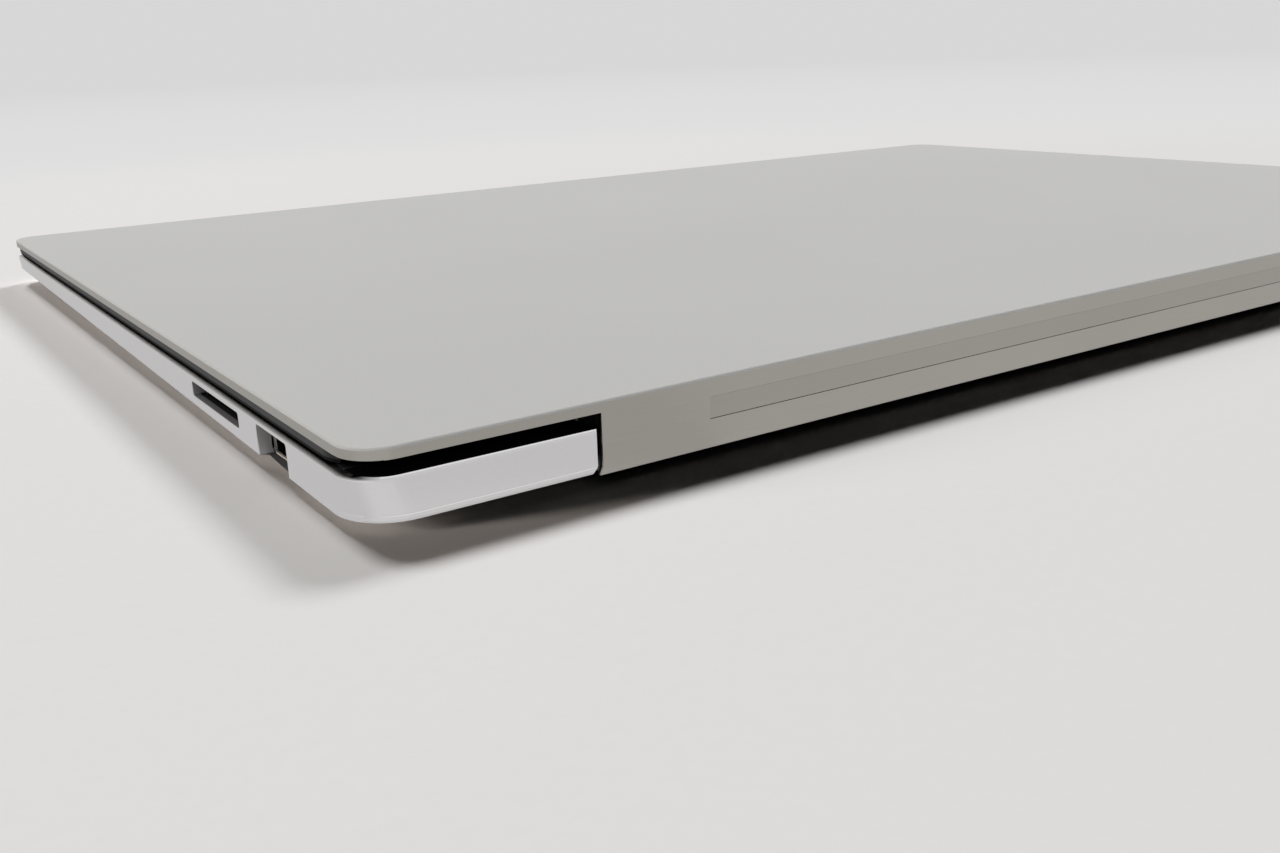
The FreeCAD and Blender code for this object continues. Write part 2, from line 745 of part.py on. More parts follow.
def fan_housing(side):
    x = side * FAN_X
    h = FAN_SIZE / 2
    z0 = PLATE_Z0 - FAN_H
    body = rounded_box(x - h, x + h, FAN_Y - h, FAN_Y + h, z0, PLATE_Z0, FAN_R)
    cave = rod_z(x, FAN_Y, z0 + FAN_SKIN, PLATE_Z0 - FAN_SKIN, FAN_CAVE_R)
    mouth = box(x - FAN_CAVE_R, x + FAN_CAVE_R, FAN_Y, FAN_Y + h + 1, z0 + FAN_SKIN, PLATE_Z0 - FAN_SKIN)
    eye = rod_z(x, FAN_Y, z0 - 1, z0 + FAN_H / 2, FAN_EYE_R)
    pin = rod_z(x, FAN_Y, z0 + FAN_SKIN, PLATE_Z0, ROTOR_PIN_R)
    return body.cut([cave, mouth, eye]).fuse(pin).removeSplitter()


def fan_rotor(side):
    x = side * FAN_X
    z0 = PLATE_Z0 - FAN_H + FAN_SKIN + ROTOR_GAP
    z1 = PLATE_Z0 - FAN_SKIN - ROTOR_GAP
    hub = rod_z(x, FAN_Y, z0, z1, ROTOR_HUB_R)
    blades = []
    for i in range(BLADES):
        blade = box(x + ROTOR_HUB_R - 1, x + ROTOR_R, FAN_Y - BLADE_T / 2, FAN_Y + BLADE_T / 2, z0, z1)
        blade.rotate(V(x, FAN_Y, 0), V(0, 0, 1), i * 360.0 / BLADES)
        blades.append(blade)
    wheel = hub.fuse(blades)
    return wheel.cut(rod_z(x, FAN_Y, z0 - 1, z1 + 1, ROTOR_PIN_R + ROTOR_FIT)).removeSplitter()


def heat_fins():
    """Comb of fins behind each fan, standing on the spreader's bar."""
    z0 = SPREADER_Z0 + SPREADER_T
    z1 = PLATE_Z0
    stacks = []
    for side in (-1, 1):
        count = int(FAN_SIZE / FIN_PITCH)
        start = side * FAN_X - count * FIN_PITCH / 2
        points = [(start + count * FIN_PITCH, z0), (start, z0)]
        for i in range(count):
            x = start + i * FIN_PITCH
            points += [(x, z1), (x + FIN_T, z1), (x + FIN_T, z0 + FIN_BASE)]
            points.append((x + FIN_PITCH, z0 + FIN_BASE))
        stacks.append(slab_xz(points, FIN_Y1 - FIN_D, FIN_Y1))
    return Part.makeCompound(stacks)


def heat_spreader():
    z1 = SPREADER_Z0 + SPREADER_T
    x = SPREADER_W / 2
    plate = box(-x, x, MAIN_Y1 - SPREADER_D, FIN_Y1, SPREADER_Z0, z1)
    reach = FAN_X + FAN_SIZE / 2
    bar = box(-reach, reach, FIN_Y1 - FIN_D, FIN_Y1, SPREADER_Z0, z1)
    return joined([plate, bar])


# Boards and cards

def mainboard():
    x = MAIN_W / 2 - POST_R
    y0 = MAIN_Y1 - MAIN_D
    board = box(-x, x, y0, MAIN_Y1, BOARD_Z0, PLATE_Z0)
    tail = box(-LEAD_MAIN_X - PLUG_BLOCK, -LEAD_MAIN_X + PLUG_BLOCK, MAIN_Y1 - 1, MAIN_Y1 + PLUG_BLOCK,
               BOARD_Z0, PLATE_Z0)
    plug = box(-LEAD_MAIN_X - PLUG_BLOCK / 2, -LEAD_MAIN_X + PLUG_BLOCK / 2, MAIN_Y1 + 1,
               MAIN_Y1 + PLUG_BLOCK, PLATE_Z0 - PLATE_T, HINGE_Z + 1)
    return joined([board, tail, plug])


def processor():
    y = MAIN_Y1 - SPREADER_D / 2
    chips = [box(-PROCESSOR_W / 2, PROCESSOR_W / 2, y - PROCESSOR_D / 2, y + PROCESSOR_D / 2,
                 CHIP_Z0, BOARD_Z0)]
    for side in (-1, 1):
        x = side * MEMORY_FROM_MIDDLE
        chips.append(box(x - MEMORY_W / 2, x + MEMORY_W / 2, y - MEMORY_D / 2, y + MEMORY_D / 2,
                         CHIP_Z0, BOARD_Z0))
    return Part.makeCompound(chips)


def card(x0, x1, y0, y1):
    """Plug-in card hanging under the main board on its connector."""
    z1 = BOARD_Z0 - CARD_DROP
    sheet = box(x0, x1, y0, y1, z1 - BOARD_T, z1)
    plug = box(x1 - PLUG_BLOCK, x1, y0, y1, z1 - BOARD_T, BOARD_Z0)
    chip = box(x0 + PLUG_BLOCK / 2, (x0 + x1) / 2, y0 + 2, y1 - 2, z1 - BOARD_T, BOARD_Z0)
    return joined([sheet, plug, chip])


def ssd_module():
    y0 = MAIN_Y1 - MAIN_D + PLUG_BLOCK
    return card(-SSD_W, 0, y0, y0 + SSD_D)


def wireless_card():
    y0 = MAIN_Y1 - MAIN_D + PLUG_BLOCK
    return card(PLUG_BLOCK * 2, PLUG_BLOCK * 2 + WIRELESS_D, y0, y0 + WIRELESS_W)


def port_board(side):
    """Board that carries the sockets, hung from the deck on two posts."""
    z1 = BASE_Z1 - CARD_SLOT_TOP - CARD_SLOT_H - CARD_SHELL_T
    x0 = PORT_BOARD_X0
    x1 = x0 + PORT_BOARD_W
    y1 = FAN_Y + FAN_SIZE / 2
    board = box(x0, x1, y1 - PORT_BOARD_D, y1, z1 - BOARD_T, z1)
    x = x0 + POST_R
    posts = [rod_z(x, y, z1 - BOARD_T, DECK_Z0, POST_R)
             for y in (y1 - POST_R, y1 - PORT_BOARD_D + POST_R)]
    shape = joined([board] + posts)
    if side < 0:
        shape = mirrored(shape)
    return shape.cut([room for room in socket_rooms() if room.BoundBox.ZMin < z1 - BOARD_T / 2])


def rect_socket(side, from_rear, wide, z0, high, deep, wall, tongue, r):
    """Metal shell open to the side, with a tongue on its back wall."""
    y1 = HALF_D - from_rear
    x1 = SOCKET_X1
    x0 = x1 - deep
    body = port_box((x0, x1), from_rear - wall, wide + 2 * wall, z0 - wall, high + 2 * wall, r + wall)
    body = body.cut(port_box((x0 + 2, x1 + 1), from_rear, wide, z0, high, r))
    if tongue:
        z = z0 + high * TONGUE_RISE
        ease = wide * TONGUE_EASE
        body = joined([body, box(x0 + 1, x1 - deep * TONGUE_BACK, y1 - wide + ease, y1 - ease,
                                 z - tongue / 2, z + tongue / 2)])
    if side < 0:
        body = mirrored(body)
    return body


def usb_a_socket():
    return rect_socket(1, USB_FROM_REAR + USB_LIP, USB_W - 2 * USB_LIP, BASE_Z1 - USB_TOP - USB_H, USB_H,
                       USB_DEEP, SHELL_T, PORT_TONGUE_T, PORT_R)


def sd_card_socket():
    return rect_socket(1, CARD_SLOT_FROM_REAR, CARD_SLOT_W, BASE_Z1 - CARD_SLOT_TOP - CARD_SLOT_H,
                       CARD_SLOT_H, CARD_SLOT_DEEP, CARD_SHELL_T, 0, PORT_R)


def hdmi_socket():
    return rect_socket(-1, VIDEO_FROM_REAR, VIDEO_W, port_mid() - VIDEO_H / 2, VIDEO_H, VIDEO_DEEP,
                       SHELL_T, PORT_TONGUE_T, PORT_R)


def usb_c_sockets():
    sockets = []
    for i in range(2):
        sockets.append(rect_socket(-1, OVAL_FROM_REAR + i * OVAL_STEP, OVAL_W, port_mid() - OVAL_H / 2,
                                   OVAL_H, OVAL_DEEP, SHELL_T, OVAL_TONGUE_T, OVAL_H / 2 - PORT_EASE))
    return Part.makeCompound(sockets)


def audio_jack():
    y = HALF_D - JACK_FROM_REAR
    x0 = -SOCKET_X1
    body = box(x0, x0 + JACK_DEEP, y - JACK_BODY / 2, y + JACK_BODY / 2, DECK_Z0 - JACK_H, DECK_Z0)
    return body.cut(rod_x(x0 - 1, x0 + JACK_DEEP - 1, y, JACK_Z, JACK_R))


# Battery and speakers

def battery():
    """Cells side by side, joined by a rail along their rear ends."""
    z1 = PAD_PLATE_Z1 - PAD_PLATE_T
    z0 = z1 - BATTERY_H
    y1 = PAD_Y1 - PAD_PLATE_EDGE
    y0 = -HALF_D + BATTERY_FROM_FRONT
    step = BATTERY_W / CELL_COUNT
    pieces = [box(-BATTERY_W / 2 + CELL_GAP, BATTERY_W / 2 - CELL_GAP, y1 - BATTERY_RAIL, y1,
                  z0 + CELL_GAP / 4, z1 - CELL_GAP / 4)]
    for i in range(CELL_COUNT):
        x = -BATTERY_W / 2 + i * step
        pieces.append(rounded_box(x + CELL_GAP / 2, x + step - CELL_GAP / 2, y0, y1 - BATTERY_RAIL / 2,
                                  z0, z1, CELL_R))
    return joined(pieces)


def speaker(side):
    x1 = HALF_W - SPEAKER_FROM_SIDE
    x0 = BATTERY_W / 2 + SPEAKER_FROM_BATTERY
    y0 = -HALF_D + SPEAKER_FROM_FRONT
    y1 = PAD_Y1 - PAD_PLATE_EDGE
    z0 = DECK_Z0 - SPEAKER_H
    body = rounded_box(x0, x1, y0, y1, z0, DECK_Z0, SPEAKER_R)
    x = (x0 + x1) / 2
    body = body.cut(rod_z(x, y1 - (y1 - y0) / 3, z0 - 1, z0 + CONE_SUNK, (x1 - x0) * CONE_SHARE))
    if side < 0:
        body = mirrored(body)
    return body


# Hinges

def hinge_pin(side):
    x0 = SKIRT_X - BARREL_FIT - KNUCKLE_L
    x1 = BAY_X + BAY_WALL + BRACKET_FIT + BRACKET_L + PIN_TAIL
    pin = rod_x(x0, x1, HINGE_Y, HINGE_Z, PIN_R)
    if side < 0:
        pin = mirrored(pin.cut(rod_x(x0 - 1, x1 + 1, HINGE_Y, HINGE_Z, PIN_BORE_R)))
    return pin


def base_hinge(side):
    """Bracket in the corner block: a bored bar and a leaf under the deck."""
    x0 = BAY_X + BAY_WALL + BRACKET_FIT
    x1 = x0 + BRACKET_L
    rear = HALF_D - REAR_WALL - BRACKET_FIT / 2
    front = HINGE_Y - (rear - HINGE_Y)
    bar = box(x0, x1, front, rear, HINGE_Z - PIN_R - BRACKET_T, DECK_Z0)
    leaf = box(x0, x1, HINGE_Y - BRACKET_LEAF, rear, DECK_Z0 - BRACKET_T, DECK_Z0)
    shape = bar.fuse(leaf).cut(rod_x(x0 - 1, x1 + 1, HINGE_Y, HINGE_Z, PIN_R + PIN_SET_FIT))
    x, y = base_screw_place()
    shape = shape.cut(rod_z(x, y, DECK_Z0 - BRACKET_T - 1, DECK_Z0 + 1, HINGE_SCREW_R + PIN_SET_FIT))
    shape = shape.removeSplitter()
    return shape if side > 0 else mirrored(shape)


def base_screw_place():
    x = BAY_X + BAY_WALL + BRACKET_FIT + BRACKET_L / 2
    return x, HINGE_Y - BRACKET_LEAF + HINGE_SCREW_FROM_END * HINGE_SCREW_HEAD_R


def knuckle_bar(side):
    x1 = SKIRT_X - BARREL_FIT - BARREL_T - BRACKET_FIT
    rear = HALF_D - SKIRT_T - BRACKET_FIT / 2
    front = HINGE_Y - PIN_R - PIN_RUN_FIT - KNUCKLE_WALL
    bar = box(x1 - KNUCKLE_L, x1, front, rear, HINGE_Z - PIN_R - BRACKET_T, POCKET_Z1)
    return bar if side > 0 else mirrored(bar)


def lid_hinge(side):
    """Leaf in the lid's pocket with a knuckle that turns on the pin."""
    bar = knuckle_bar(1)
    b = bar.BoundBox
    leaf = box(b.XMax - LEAF_W, b.XMax, HINGE_Y - LEAF_L, b.YMax, LID_Z0, POCKET_Z1)
    bore = rod_x(b.XMin - 1, b.XMax + 1, HINGE_Y, HINGE_Z, PIN_R + PIN_RUN_FIT)
    shape = bar.fuse(leaf).cut(bore).removeSplitter()
    return shape if side > 0 else mirrored(shape)


def hinge_screws():
    """Screws that hold the base brackets up under the deck."""
    x, y = base_screw_place()
    z = DECK_Z0 - BRACKET_T
    head = rod_z(x, y, z - HINGE_SCREW_HEAD_H, z, HINGE_SCREW_HEAD_R)
    shank = rod_z(x, y, z - HINGE_SCREW_HEAD_H, DECK_Z0, HINGE_SCREW_R)
    screw = joined([head, shank])
    return Part.makeCompound([screw, mirrored(screw)])


# Lid

def lid_cover():
    plate = rounded_box(-HALF_W, HALF_W, -HALF_D, HALF_D, LID_Z0, LID_Z1, CORNER_R)
    rim = [e for e in plate.Edges if e.BoundBox.ZMin > LID_Z1 - LID_EDGE_R / 2]
    plate = plate.makeFillet(LID_EDGE_R, rim)
    c = BLOCK_CUT
    z = SKIRT_Z0
    f = SKIRT_FLARE
    points = [(-SKIRT_X - f, z), (SKIRT_X + f, z), (SKIRT_X, z + c), (SKIRT_X, LID_Z0 + LID_EDGE_H / 4),
              (-SKIRT_X, LID_Z0 + LID_EDGE_H / 4), (-SKIRT_X, z + c)]
    skirt = slab_xz(points, HALF_D - SKIRT_T, HALF_D)
    plate = plate.fuse(skirt)
    p = LID_RIM
    tools = [rounded_box(-HALF_W + p, HALF_W - p, -HALF_D + p, HALF_D - FRAME_REAR - p,
                         LID_Z0 - 1, POCKET_Z1, CORNER_R - p)]
    g = BRACKET_FIT
    x1 = SKIRT_X - BARREL_FIT - BARREL_T - BRACKET_FIT
    rear = HALF_D - SKIRT_T - BRACKET_FIT / 2
    for side in (-1, 1):
        span = (x1 - LEAF_W - g, x1 + g)
        if side < 0:
            span = (-span[1], -span[0])
        tools.append(box(span[0], span[1], HINGE_Y - LEAF_L, rear + g / 4, LID_Z0 - 1, POCKET_Z1))
    tools.append(lead_pocket())
    s = HALF_W - STRIP_FROM_SIDE + STRIP_FIT
    z1 = LID_Z1 - STRIP_BELOW_TOP + STRIP_FIT
    tools.append(box(-s, s, HALF_D - STRIP_T - STRIP_SUNK, HALF_D + 1, z1 - STRIP_H - 2 * STRIP_FIT, z1))
    return plate.cut(tools).removeSplitter()


def lid_trim_strip():
    s = HALF_W - STRIP_FROM_SIDE
    z1 = LID_Z1 - STRIP_BELOW_TOP
    y1 = HALF_D - STRIP_SUNK
    return box(-s, s, y1 - STRIP_T, y1, z1 - STRIP_H, z1)


def barrel_edges(r, y_front):
    """Wall down from the lid's underside, round the front, to under the axis and on to the rear."""
    rear = HALF_D - SKIRT_T - BARREL_FIT
    top = V(0, y_front, LID_Z0)
    side = V(0, y_front, HINGE_Z + math.sqrt(r * r - (HINGE_Y - y_front) ** 2))
    mid = V(0, HINGE_Y - r, HINGE_Z)
    low = V(0, HINGE_Y, HINGE_Z - r)
    end = V(0, rear, HINGE_Z - r)
    edges = [Part.makeLine(top, side), Part.Arc(side, mid, low).toShape(), Part.makeLine(low, end)]
    return top, edges, end


def hinge_barrel():
    x = SKIRT_X - BARREL_FIT
    front = HALF_D - FRAME_REAR + BARREL_FIT
    top, outer, end = barrel_edges(BARREL_R, front)
    top2, inner, end2 = barrel_edges(BARREL_R - BARREL_T, front + BARREL_T)
    wall = Part.Wire(Part.__sortEdges__(
        outer + inner + [Part.makeLine(end, end2), Part.makeLine(top2, top)]))
    shell = Part.Face(wall).extrude(V(2 * x, 0, 0))
    shell.translate(V(-x, 0, 0))
    corner = V(0, end.y, LID_Z0)
    outline = Part.Wire(Part.__sortEdges__(
        outer + [Part.makeLine(end, corner), Part.makeLine(corner, top)]))
    cap = Part.Face(outline).extrude(V(BARREL_T, 0, 0))
    cap = cap.cut(rod_x(-1, BARREL_T + 1, HINGE_Y, HINGE_Z, PIN_R + 2 * BRACKET_FIT))
    right = cap.copy()
    right.translate(V(x - BARREL_T, 0, 0))
    left = cap.copy()
    left.translate(V(-x, 0, 0))
    return joined([shell, right, left]).cut(lead_pocket())


def display_frame_box(inset, z0, z1, r):
    return rounded_box(-HALF_W + inset, HALF_W - inset, -HALF_D + inset, HALF_D - FRAME_REAR,
                       z0, z1, r)


def panel_box(grow, z0, z1):
    y0 = -HALF_D + PANEL_FROM_FRONT
    x = PANEL_W / 2 + grow
    return box(-x, x, y0 - grow, y0 + PANEL_D + grow, z0, z1)


def display_bezel():
    frame = display_frame_box(FRAME_IN, FRAME_Z0, LID_Z0, CORNER_R - FRAME_IN)
    lens = rod_z(0, -HALF_D + CAMERA_FROM_FRONT, FRAME_Z0 - 1, LID_Z0 + 1, LENS_R + LENS_FIT)
    return frame.cut([panel_box(PANEL_FIT, FRAME_Z0 - 1, LID_Z0 + 1), lens])


def display_panel():
    return panel_box(0, FRAME_Z0 + PANEL_SUNK, POCKET_Z1)


def lid_seal():
    """Soft lip round the front and the sides of the display frame."""
    a = FRAME_IN + SEAL_IN
    b = a + SEAL_W
    outer = rounded_box(-HALF_W + a, HALF_W - a, -HALF_D + a, HALF_D - FRAME_REAR - SEAL_IN,
                        FRAME_Z0 - SEAL_H, FRAME_Z0, CORNER_R - a)
    inner = rounded_box(-HALF_W + b, HALF_W - b, -HALF_D + b, HALF_D, FRAME_Z0 - SEAL_H - 1,
                        FRAME_Z0 + 1, CORNER_R - b)
    return outer.cut(inner)


def webcam_module():
    y = -HALF_D + CAMERA_FROM_FRONT
    board = box(-CAMERA_W / 2, CAMERA_W / 2, y - CAMERA_D / 2, y + CAMERA_D / 2, LID_Z0, POCKET_Z1)
    return joined([board, rod_z(0, y, FRAME_Z0 + PANEL_SUNK, POCKET_Z1, LENS_R)])


def panel_board():
    y0 = -HALF_D + PANEL_FROM_FRONT + PANEL_D + PANEL_BOARD_GAP
    return box(-PANEL_BOARD_W / 2, PANEL_BOARD_W / 2, y0, y0 + PANEL_BOARD_D, LID_Z0, POCKET_Z1)


# Panel lead, which crosses the hinge inside the left pin

def lead_points():
    y = -HALF_D + PANEL_FROM_FRONT + PANEL_D + PANEL_BOARD_GAP + PANEL_BOARD_D / 2
    z = (LID_Z0 + POCKET_Z1) / 2
    turn = -(SKIRT_X - BARREL_FIT - BARREL_T - BRACKET_FIT - LEAF_W - 4 * LEAD_BEND)
    middle = -(SKIRT_X - BARREL_FIT - KNUCKLE_L / 2)
    return [V(middle, HINGE_Y, HINGE_Z), V(turn, HINGE_Y, HINGE_Z), V(turn, HINGE_Y, z),
            V(turn, y, z), V(-PANEL_BOARD_W / 2, y, z)]


def lead_pocket():
    """Groove in the lid through which the lead leaves the barrel."""
    points = lead_points()
    w = 2 * LEAD_R
    return box(points[1].x - w, points[1].x + w, HALF_D - FRAME_REAR - 2 * LID_RIM,
               HINGE_Y + w, HINGE_Z + LEAD_BEND, POCKET_Z1)


def panel_lead_lid():
    return lead(lead_points(), LEAD_R, LEAD_BEND)


def panel_lead_base():
    start = lead_points()[0]
    out = -(BAY_X + BAY_WALL + BRACKET_FIT + BRACKET_L + PIN_TAIL + 2 * LEAD_BEND)
    y = INNER_REAR - 2 * LEAD_R - BRACKET_FIT
    return lead([V(start.x - BRACKET_FIT, HINGE_Y, HINGE_Z), V(out, HINGE_Y, HINGE_Z), V(out, y, HINGE_Z),
                 V(-LEAD_MAIN_X, y, HINGE_Z), V(-LEAD_MAIN_X, MAIN_Y1 + PLUG_BLOCK, HINGE_Z)],
                LEAD_R, LEAD_BEND)


def build():
    nodes = {
        "lid_cover": lid_cover(),
        "lid_trim_strip": lid_trim_strip(),
        "hinge_barrel": hinge_barrel(),
        "display_bezel": display_bezel(),
        "display_panel": display_panel(),
        "lid_seal": lid_seal(),
        "webcam_module": webcam_module(),
        "panel_board": panel_board(),
        "panel_lead_lid": panel_lead_lid(),
        "lid_hinge_left": lid_hinge(-1),
        "lid_hinge_right": lid_hinge(1),
        "top_case": top_case(),
        "bottom_cover": bottom_cover(),
        "rear_foot": rear_foot(),
        "front_feet": front_feet(),
        "bottom_screws": bottom_screws(),
        "air_grille": air_grille(),
        "keyboard_plate": keyboard_plate(),
        "touchpad": touchpad(),
        "touchpad_bracket": touchpad_bracket(),
        "fan_housing_left": fan_housing(-1),
        "fan_housing_right": fan_housing(1),
        "fan_rotor_left": fan_rotor(-1),
        "fan_rotor_right": fan_rotor(1),
        "heat_fins": heat_fins(),
        "heat_spreader": heat_spreader(),
        "mainboard": mainboard(),
        "processor": processor(),
        "ssd_module": ssd_module(),
        "wireless_card": wireless_card(),
        "port_board_left": port_board(-1),
        "port_board_right": port_board(1),
        "usb_a_socket": usb_a_socket(),
        "sd_card_socket": sd_card_socket(),
        "hdmi_socket": hdmi_socket(),
        "usb_c_sockets": usb_c_sockets(),
        "audio_jack": audio_jack(),
        "battery": battery(),
        "speaker_left": speaker(-1),
        "speaker_right": speaker(1),
        "hinge_pin_left": hinge_pin(-1),
        "hinge_pin_right": hinge_pin(1),
        "base_hinge_left": base_hinge(-1),
        "base_hinge_right": base_hinge(1),
        "hinge_screws": hinge_screws(),
        "panel_lead_base": panel_lead_base(),
    }
    for group in ("escape", "power", "backspace", "enter", "left_shift", "right_shift"):
        nodes[group + "_key"] = key_group(group)
    for group in ("function", "number", "upper_letter", "home_letter", "lower_letter", "modifier", "arrow"):
        nodes[group + "_keys"] = key_group(group)
    nodes["space_bar"] = key_group("space")
    return nodes


os.makedirs("parts", exist_ok=True)
for name, shape in build().items():
    shape.exportStep("parts/%s.step" % name)
    print(name, len(shape.Solids), round(shape.Volume, 2), shape.isValid())
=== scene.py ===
"""Slim laptop computer: finishes, fine pieces and studio stage over its CAD frame."""

import json
import math

import bmesh
import bpy
from bpy.props import FloatProperty, FloatVectorProperty, IntProperty, PointerProperty
from mathutils import Matrix, Vector


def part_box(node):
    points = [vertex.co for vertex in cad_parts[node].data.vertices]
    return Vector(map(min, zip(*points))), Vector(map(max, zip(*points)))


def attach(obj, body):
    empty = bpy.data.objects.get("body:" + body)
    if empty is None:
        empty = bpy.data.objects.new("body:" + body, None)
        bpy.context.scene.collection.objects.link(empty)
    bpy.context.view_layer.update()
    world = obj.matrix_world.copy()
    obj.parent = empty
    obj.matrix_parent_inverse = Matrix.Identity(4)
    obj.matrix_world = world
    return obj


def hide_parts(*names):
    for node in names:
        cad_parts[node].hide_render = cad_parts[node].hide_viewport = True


bl_info = {
    "name": "Slim laptop computer",
    "version": (1, 0, 0),
    "blender": (4, 2, 0),
    "location": "View3D > Sidebar > Laptop",
    "description": "Finishes and fine pieces of a slim laptop computer on its CAD frame",
    "category": "Object",
}

MM = 0.001

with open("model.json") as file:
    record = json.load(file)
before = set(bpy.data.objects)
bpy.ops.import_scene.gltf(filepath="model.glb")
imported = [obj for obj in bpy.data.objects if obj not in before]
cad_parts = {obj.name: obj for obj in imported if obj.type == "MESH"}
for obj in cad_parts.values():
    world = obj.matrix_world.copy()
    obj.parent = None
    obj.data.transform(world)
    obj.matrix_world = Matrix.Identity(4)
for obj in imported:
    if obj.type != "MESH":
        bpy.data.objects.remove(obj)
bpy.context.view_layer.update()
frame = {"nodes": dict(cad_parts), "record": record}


def linear(hex_code):
    """An sRGB hex colour as the linear red, green and blue that Blender works in."""
    shares = [int(hex_code[i:i + 2], 16) / 255 for i in (0, 2, 4)]
    return tuple(c / 12.92 if c <= 0.04045 else ((c + 0.055) / 1.055) ** 2.4 for c in shares)


def span(node):
    """The lowest and the highest corner of a CAD piece."""
    low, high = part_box(node)
    return Vector(low), Vector(high)


# Sizes and colours that a user would change

class LaptopSizes(bpy.types.PropertyGroup):
    letter: FloatProperty(
        name="Letter height", description="Height of a single letter or digit on a key",
        default=4.0 * MM, min=1.0 * MM, max=8.0 * MM, unit="LENGTH")
    word: FloatProperty(
        name="Word height", description="Height of the words on the wide and the low keys",
        default=2.5 * MM, min=1.0 * MM, max=5.0 * MM, unit="LENGTH")
    ink: FloatProperty(
        name="Ink thickness", description="How far the key legends stand above the key",
        default=0.02 * MM, min=0.005 * MM, max=0.1 * MM, unit="LENGTH")
    grille_pitch: FloatProperty(
        name="Grille pitch", description="Distance between neighbouring holes of the air grille",
        default=1.5 * MM, min=1.0 * MM, max=4.0 * MM, unit="LENGTH")
    grille_open: FloatProperty(
        name="Grille hole share", description="Width of a hole as a share of the pitch",
        default=0.66, min=0.2, max=0.9, subtype="FACTOR")
    screw_sides: IntProperty(
        name="Screw sides", description="Sides of a screw head's outline",
        default=32, min=12, max=64)
    contact: FloatProperty(
        name="Contact width", description="Width of one spring contact in a socket",
        default=0.5 * MM, min=0.2 * MM, max=1.5 * MM, unit="LENGTH")


class LaptopColours(bpy.types.PropertyGroup):
    lid: FloatVectorProperty(
        name="Lid", description="Satin anodised metal of the lid's top",
        default=linear("D2D2D0"), size=3, min=0, max=1, subtype="COLOR")
    # The lid's edges and hinge side take this colour, painted darker than the top as the shade on upright
    # faces
    hinge_side_shade: FloatVectorProperty(
        name="Hinge side", description="Brushed metal of the lid's edges and hinge side",
        default=linear("B6B2AB"), size=3, min=0, max=1, subtype="COLOR")
    case: FloatVectorProperty(
        name="Case", description="Blasted metal of the base",
        default=linear("EAE8E8"), size=3, min=0, max=1, subtype="COLOR")
    keys: FloatVectorProperty(
        name="Keys", description="Plastic of the key caps",
        default=linear("B9B9B7"), size=3, min=0, max=1, subtype="COLOR")
    legends: FloatVectorProperty(
        name="Key legends", description="Ink of the letters on the keys",
        default=linear("4A4A4B"), size=3, min=0, max=1, subtype="COLOR")
    floor: FloatVectorProperty(
        name="Floor", description="Paper sweep under the laptop",
        default=linear("FAF9F9"), size=3, min=0, max=1, subtype="COLOR")


# Materials

# Upward share of a face's direction: up to the first it counts as upright, from the second as level
UPRIGHT, LEVEL = 0.3, 0.75
# Sums of a layer's two noises at which its tone and its roughness reach their ends
NOISE_LOW, NOISE_HIGH = 0.7, 1.3
SPECK_GAP = 0.6 * MM
SPECK_CORE, SPECK_RIM = 0.10, 0.22  # radii of a fleck as shares of that gap
SPECK_SHARE = 0.12  # how far a fleck takes on its own colour
TRACE_CELL = 6.0 * MM  # the pattern of the tracks; five of them cross it
BORDER_X, BORDER_Y = 3.2 * MM, 5.0 * MM  # black border round the display's picture


def add(tree, kind, inputs=None, **settings):
    """Adds a node, gives it its settings, and fills or links its inputs."""
    node = tree.nodes.new(kind)
    for name, value in settings.items():
        setattr(node, name, value)
    for name, value in (inputs or {}).items():
        if isinstance(value, bpy.types.NodeSocket):
            tree.links.new(value, node.inputs[name])
        else:
            node.inputs[name].default_value = value
    return node


def rgba(colour):
    return (*colour, 1.0)


def shade(colour, share):
    """The same hue, lighter or darker by a share."""
    return tuple(min(1.0, c * share) for c in colour)


def within(tree, place, low, high):
    """1 where a place lies between two corners and 0 elsewhere; None leaves a side open."""
    parts = add(tree, "ShaderNodeSeparateXYZ", {0: place})
    inside = None
    for corner, test in ((low, "GREATER_THAN"), (high, "LESS_THAN")):
        for axis, limit in enumerate(corner):
            if limit is None:
                continue
            one = add(tree, "ShaderNodeMath", {0: parts.outputs[axis], 1: limit}, operation=test).outputs[0]
            inside = one if inside is None else add(
                tree, "ShaderNodeMath", {0: inside, 1: one}, operation="MULTIPLY").outputs[0]
    return inside


def upward(tree, place, low, high):
    """1 on faces that look mostly up, 0 on upright ones, fading out from a height down to a lower one."""
    facing = add(tree, "ShaderNodeSeparateXYZ", {0: add(tree, "ShaderNodeNewGeometry").outputs["Normal"]})
    flat = add(tree, "ShaderNodeMapRange", {
        "Value": facing.outputs["Z"], "From Min": UPRIGHT, "From Max": LEVEL})
    height = add(tree, "ShaderNodeSeparateXYZ", {0: place})
    level = add(tree, "ShaderNodeMapRange", {
        "Value": height.outputs["Z"], "From Min": low, "From Max": high})
    return add(tree, "ShaderNodeMath", {
        0: flat.outputs[0], 1: level.outputs[0]}, operation="MULTIPLY").outputs[0]


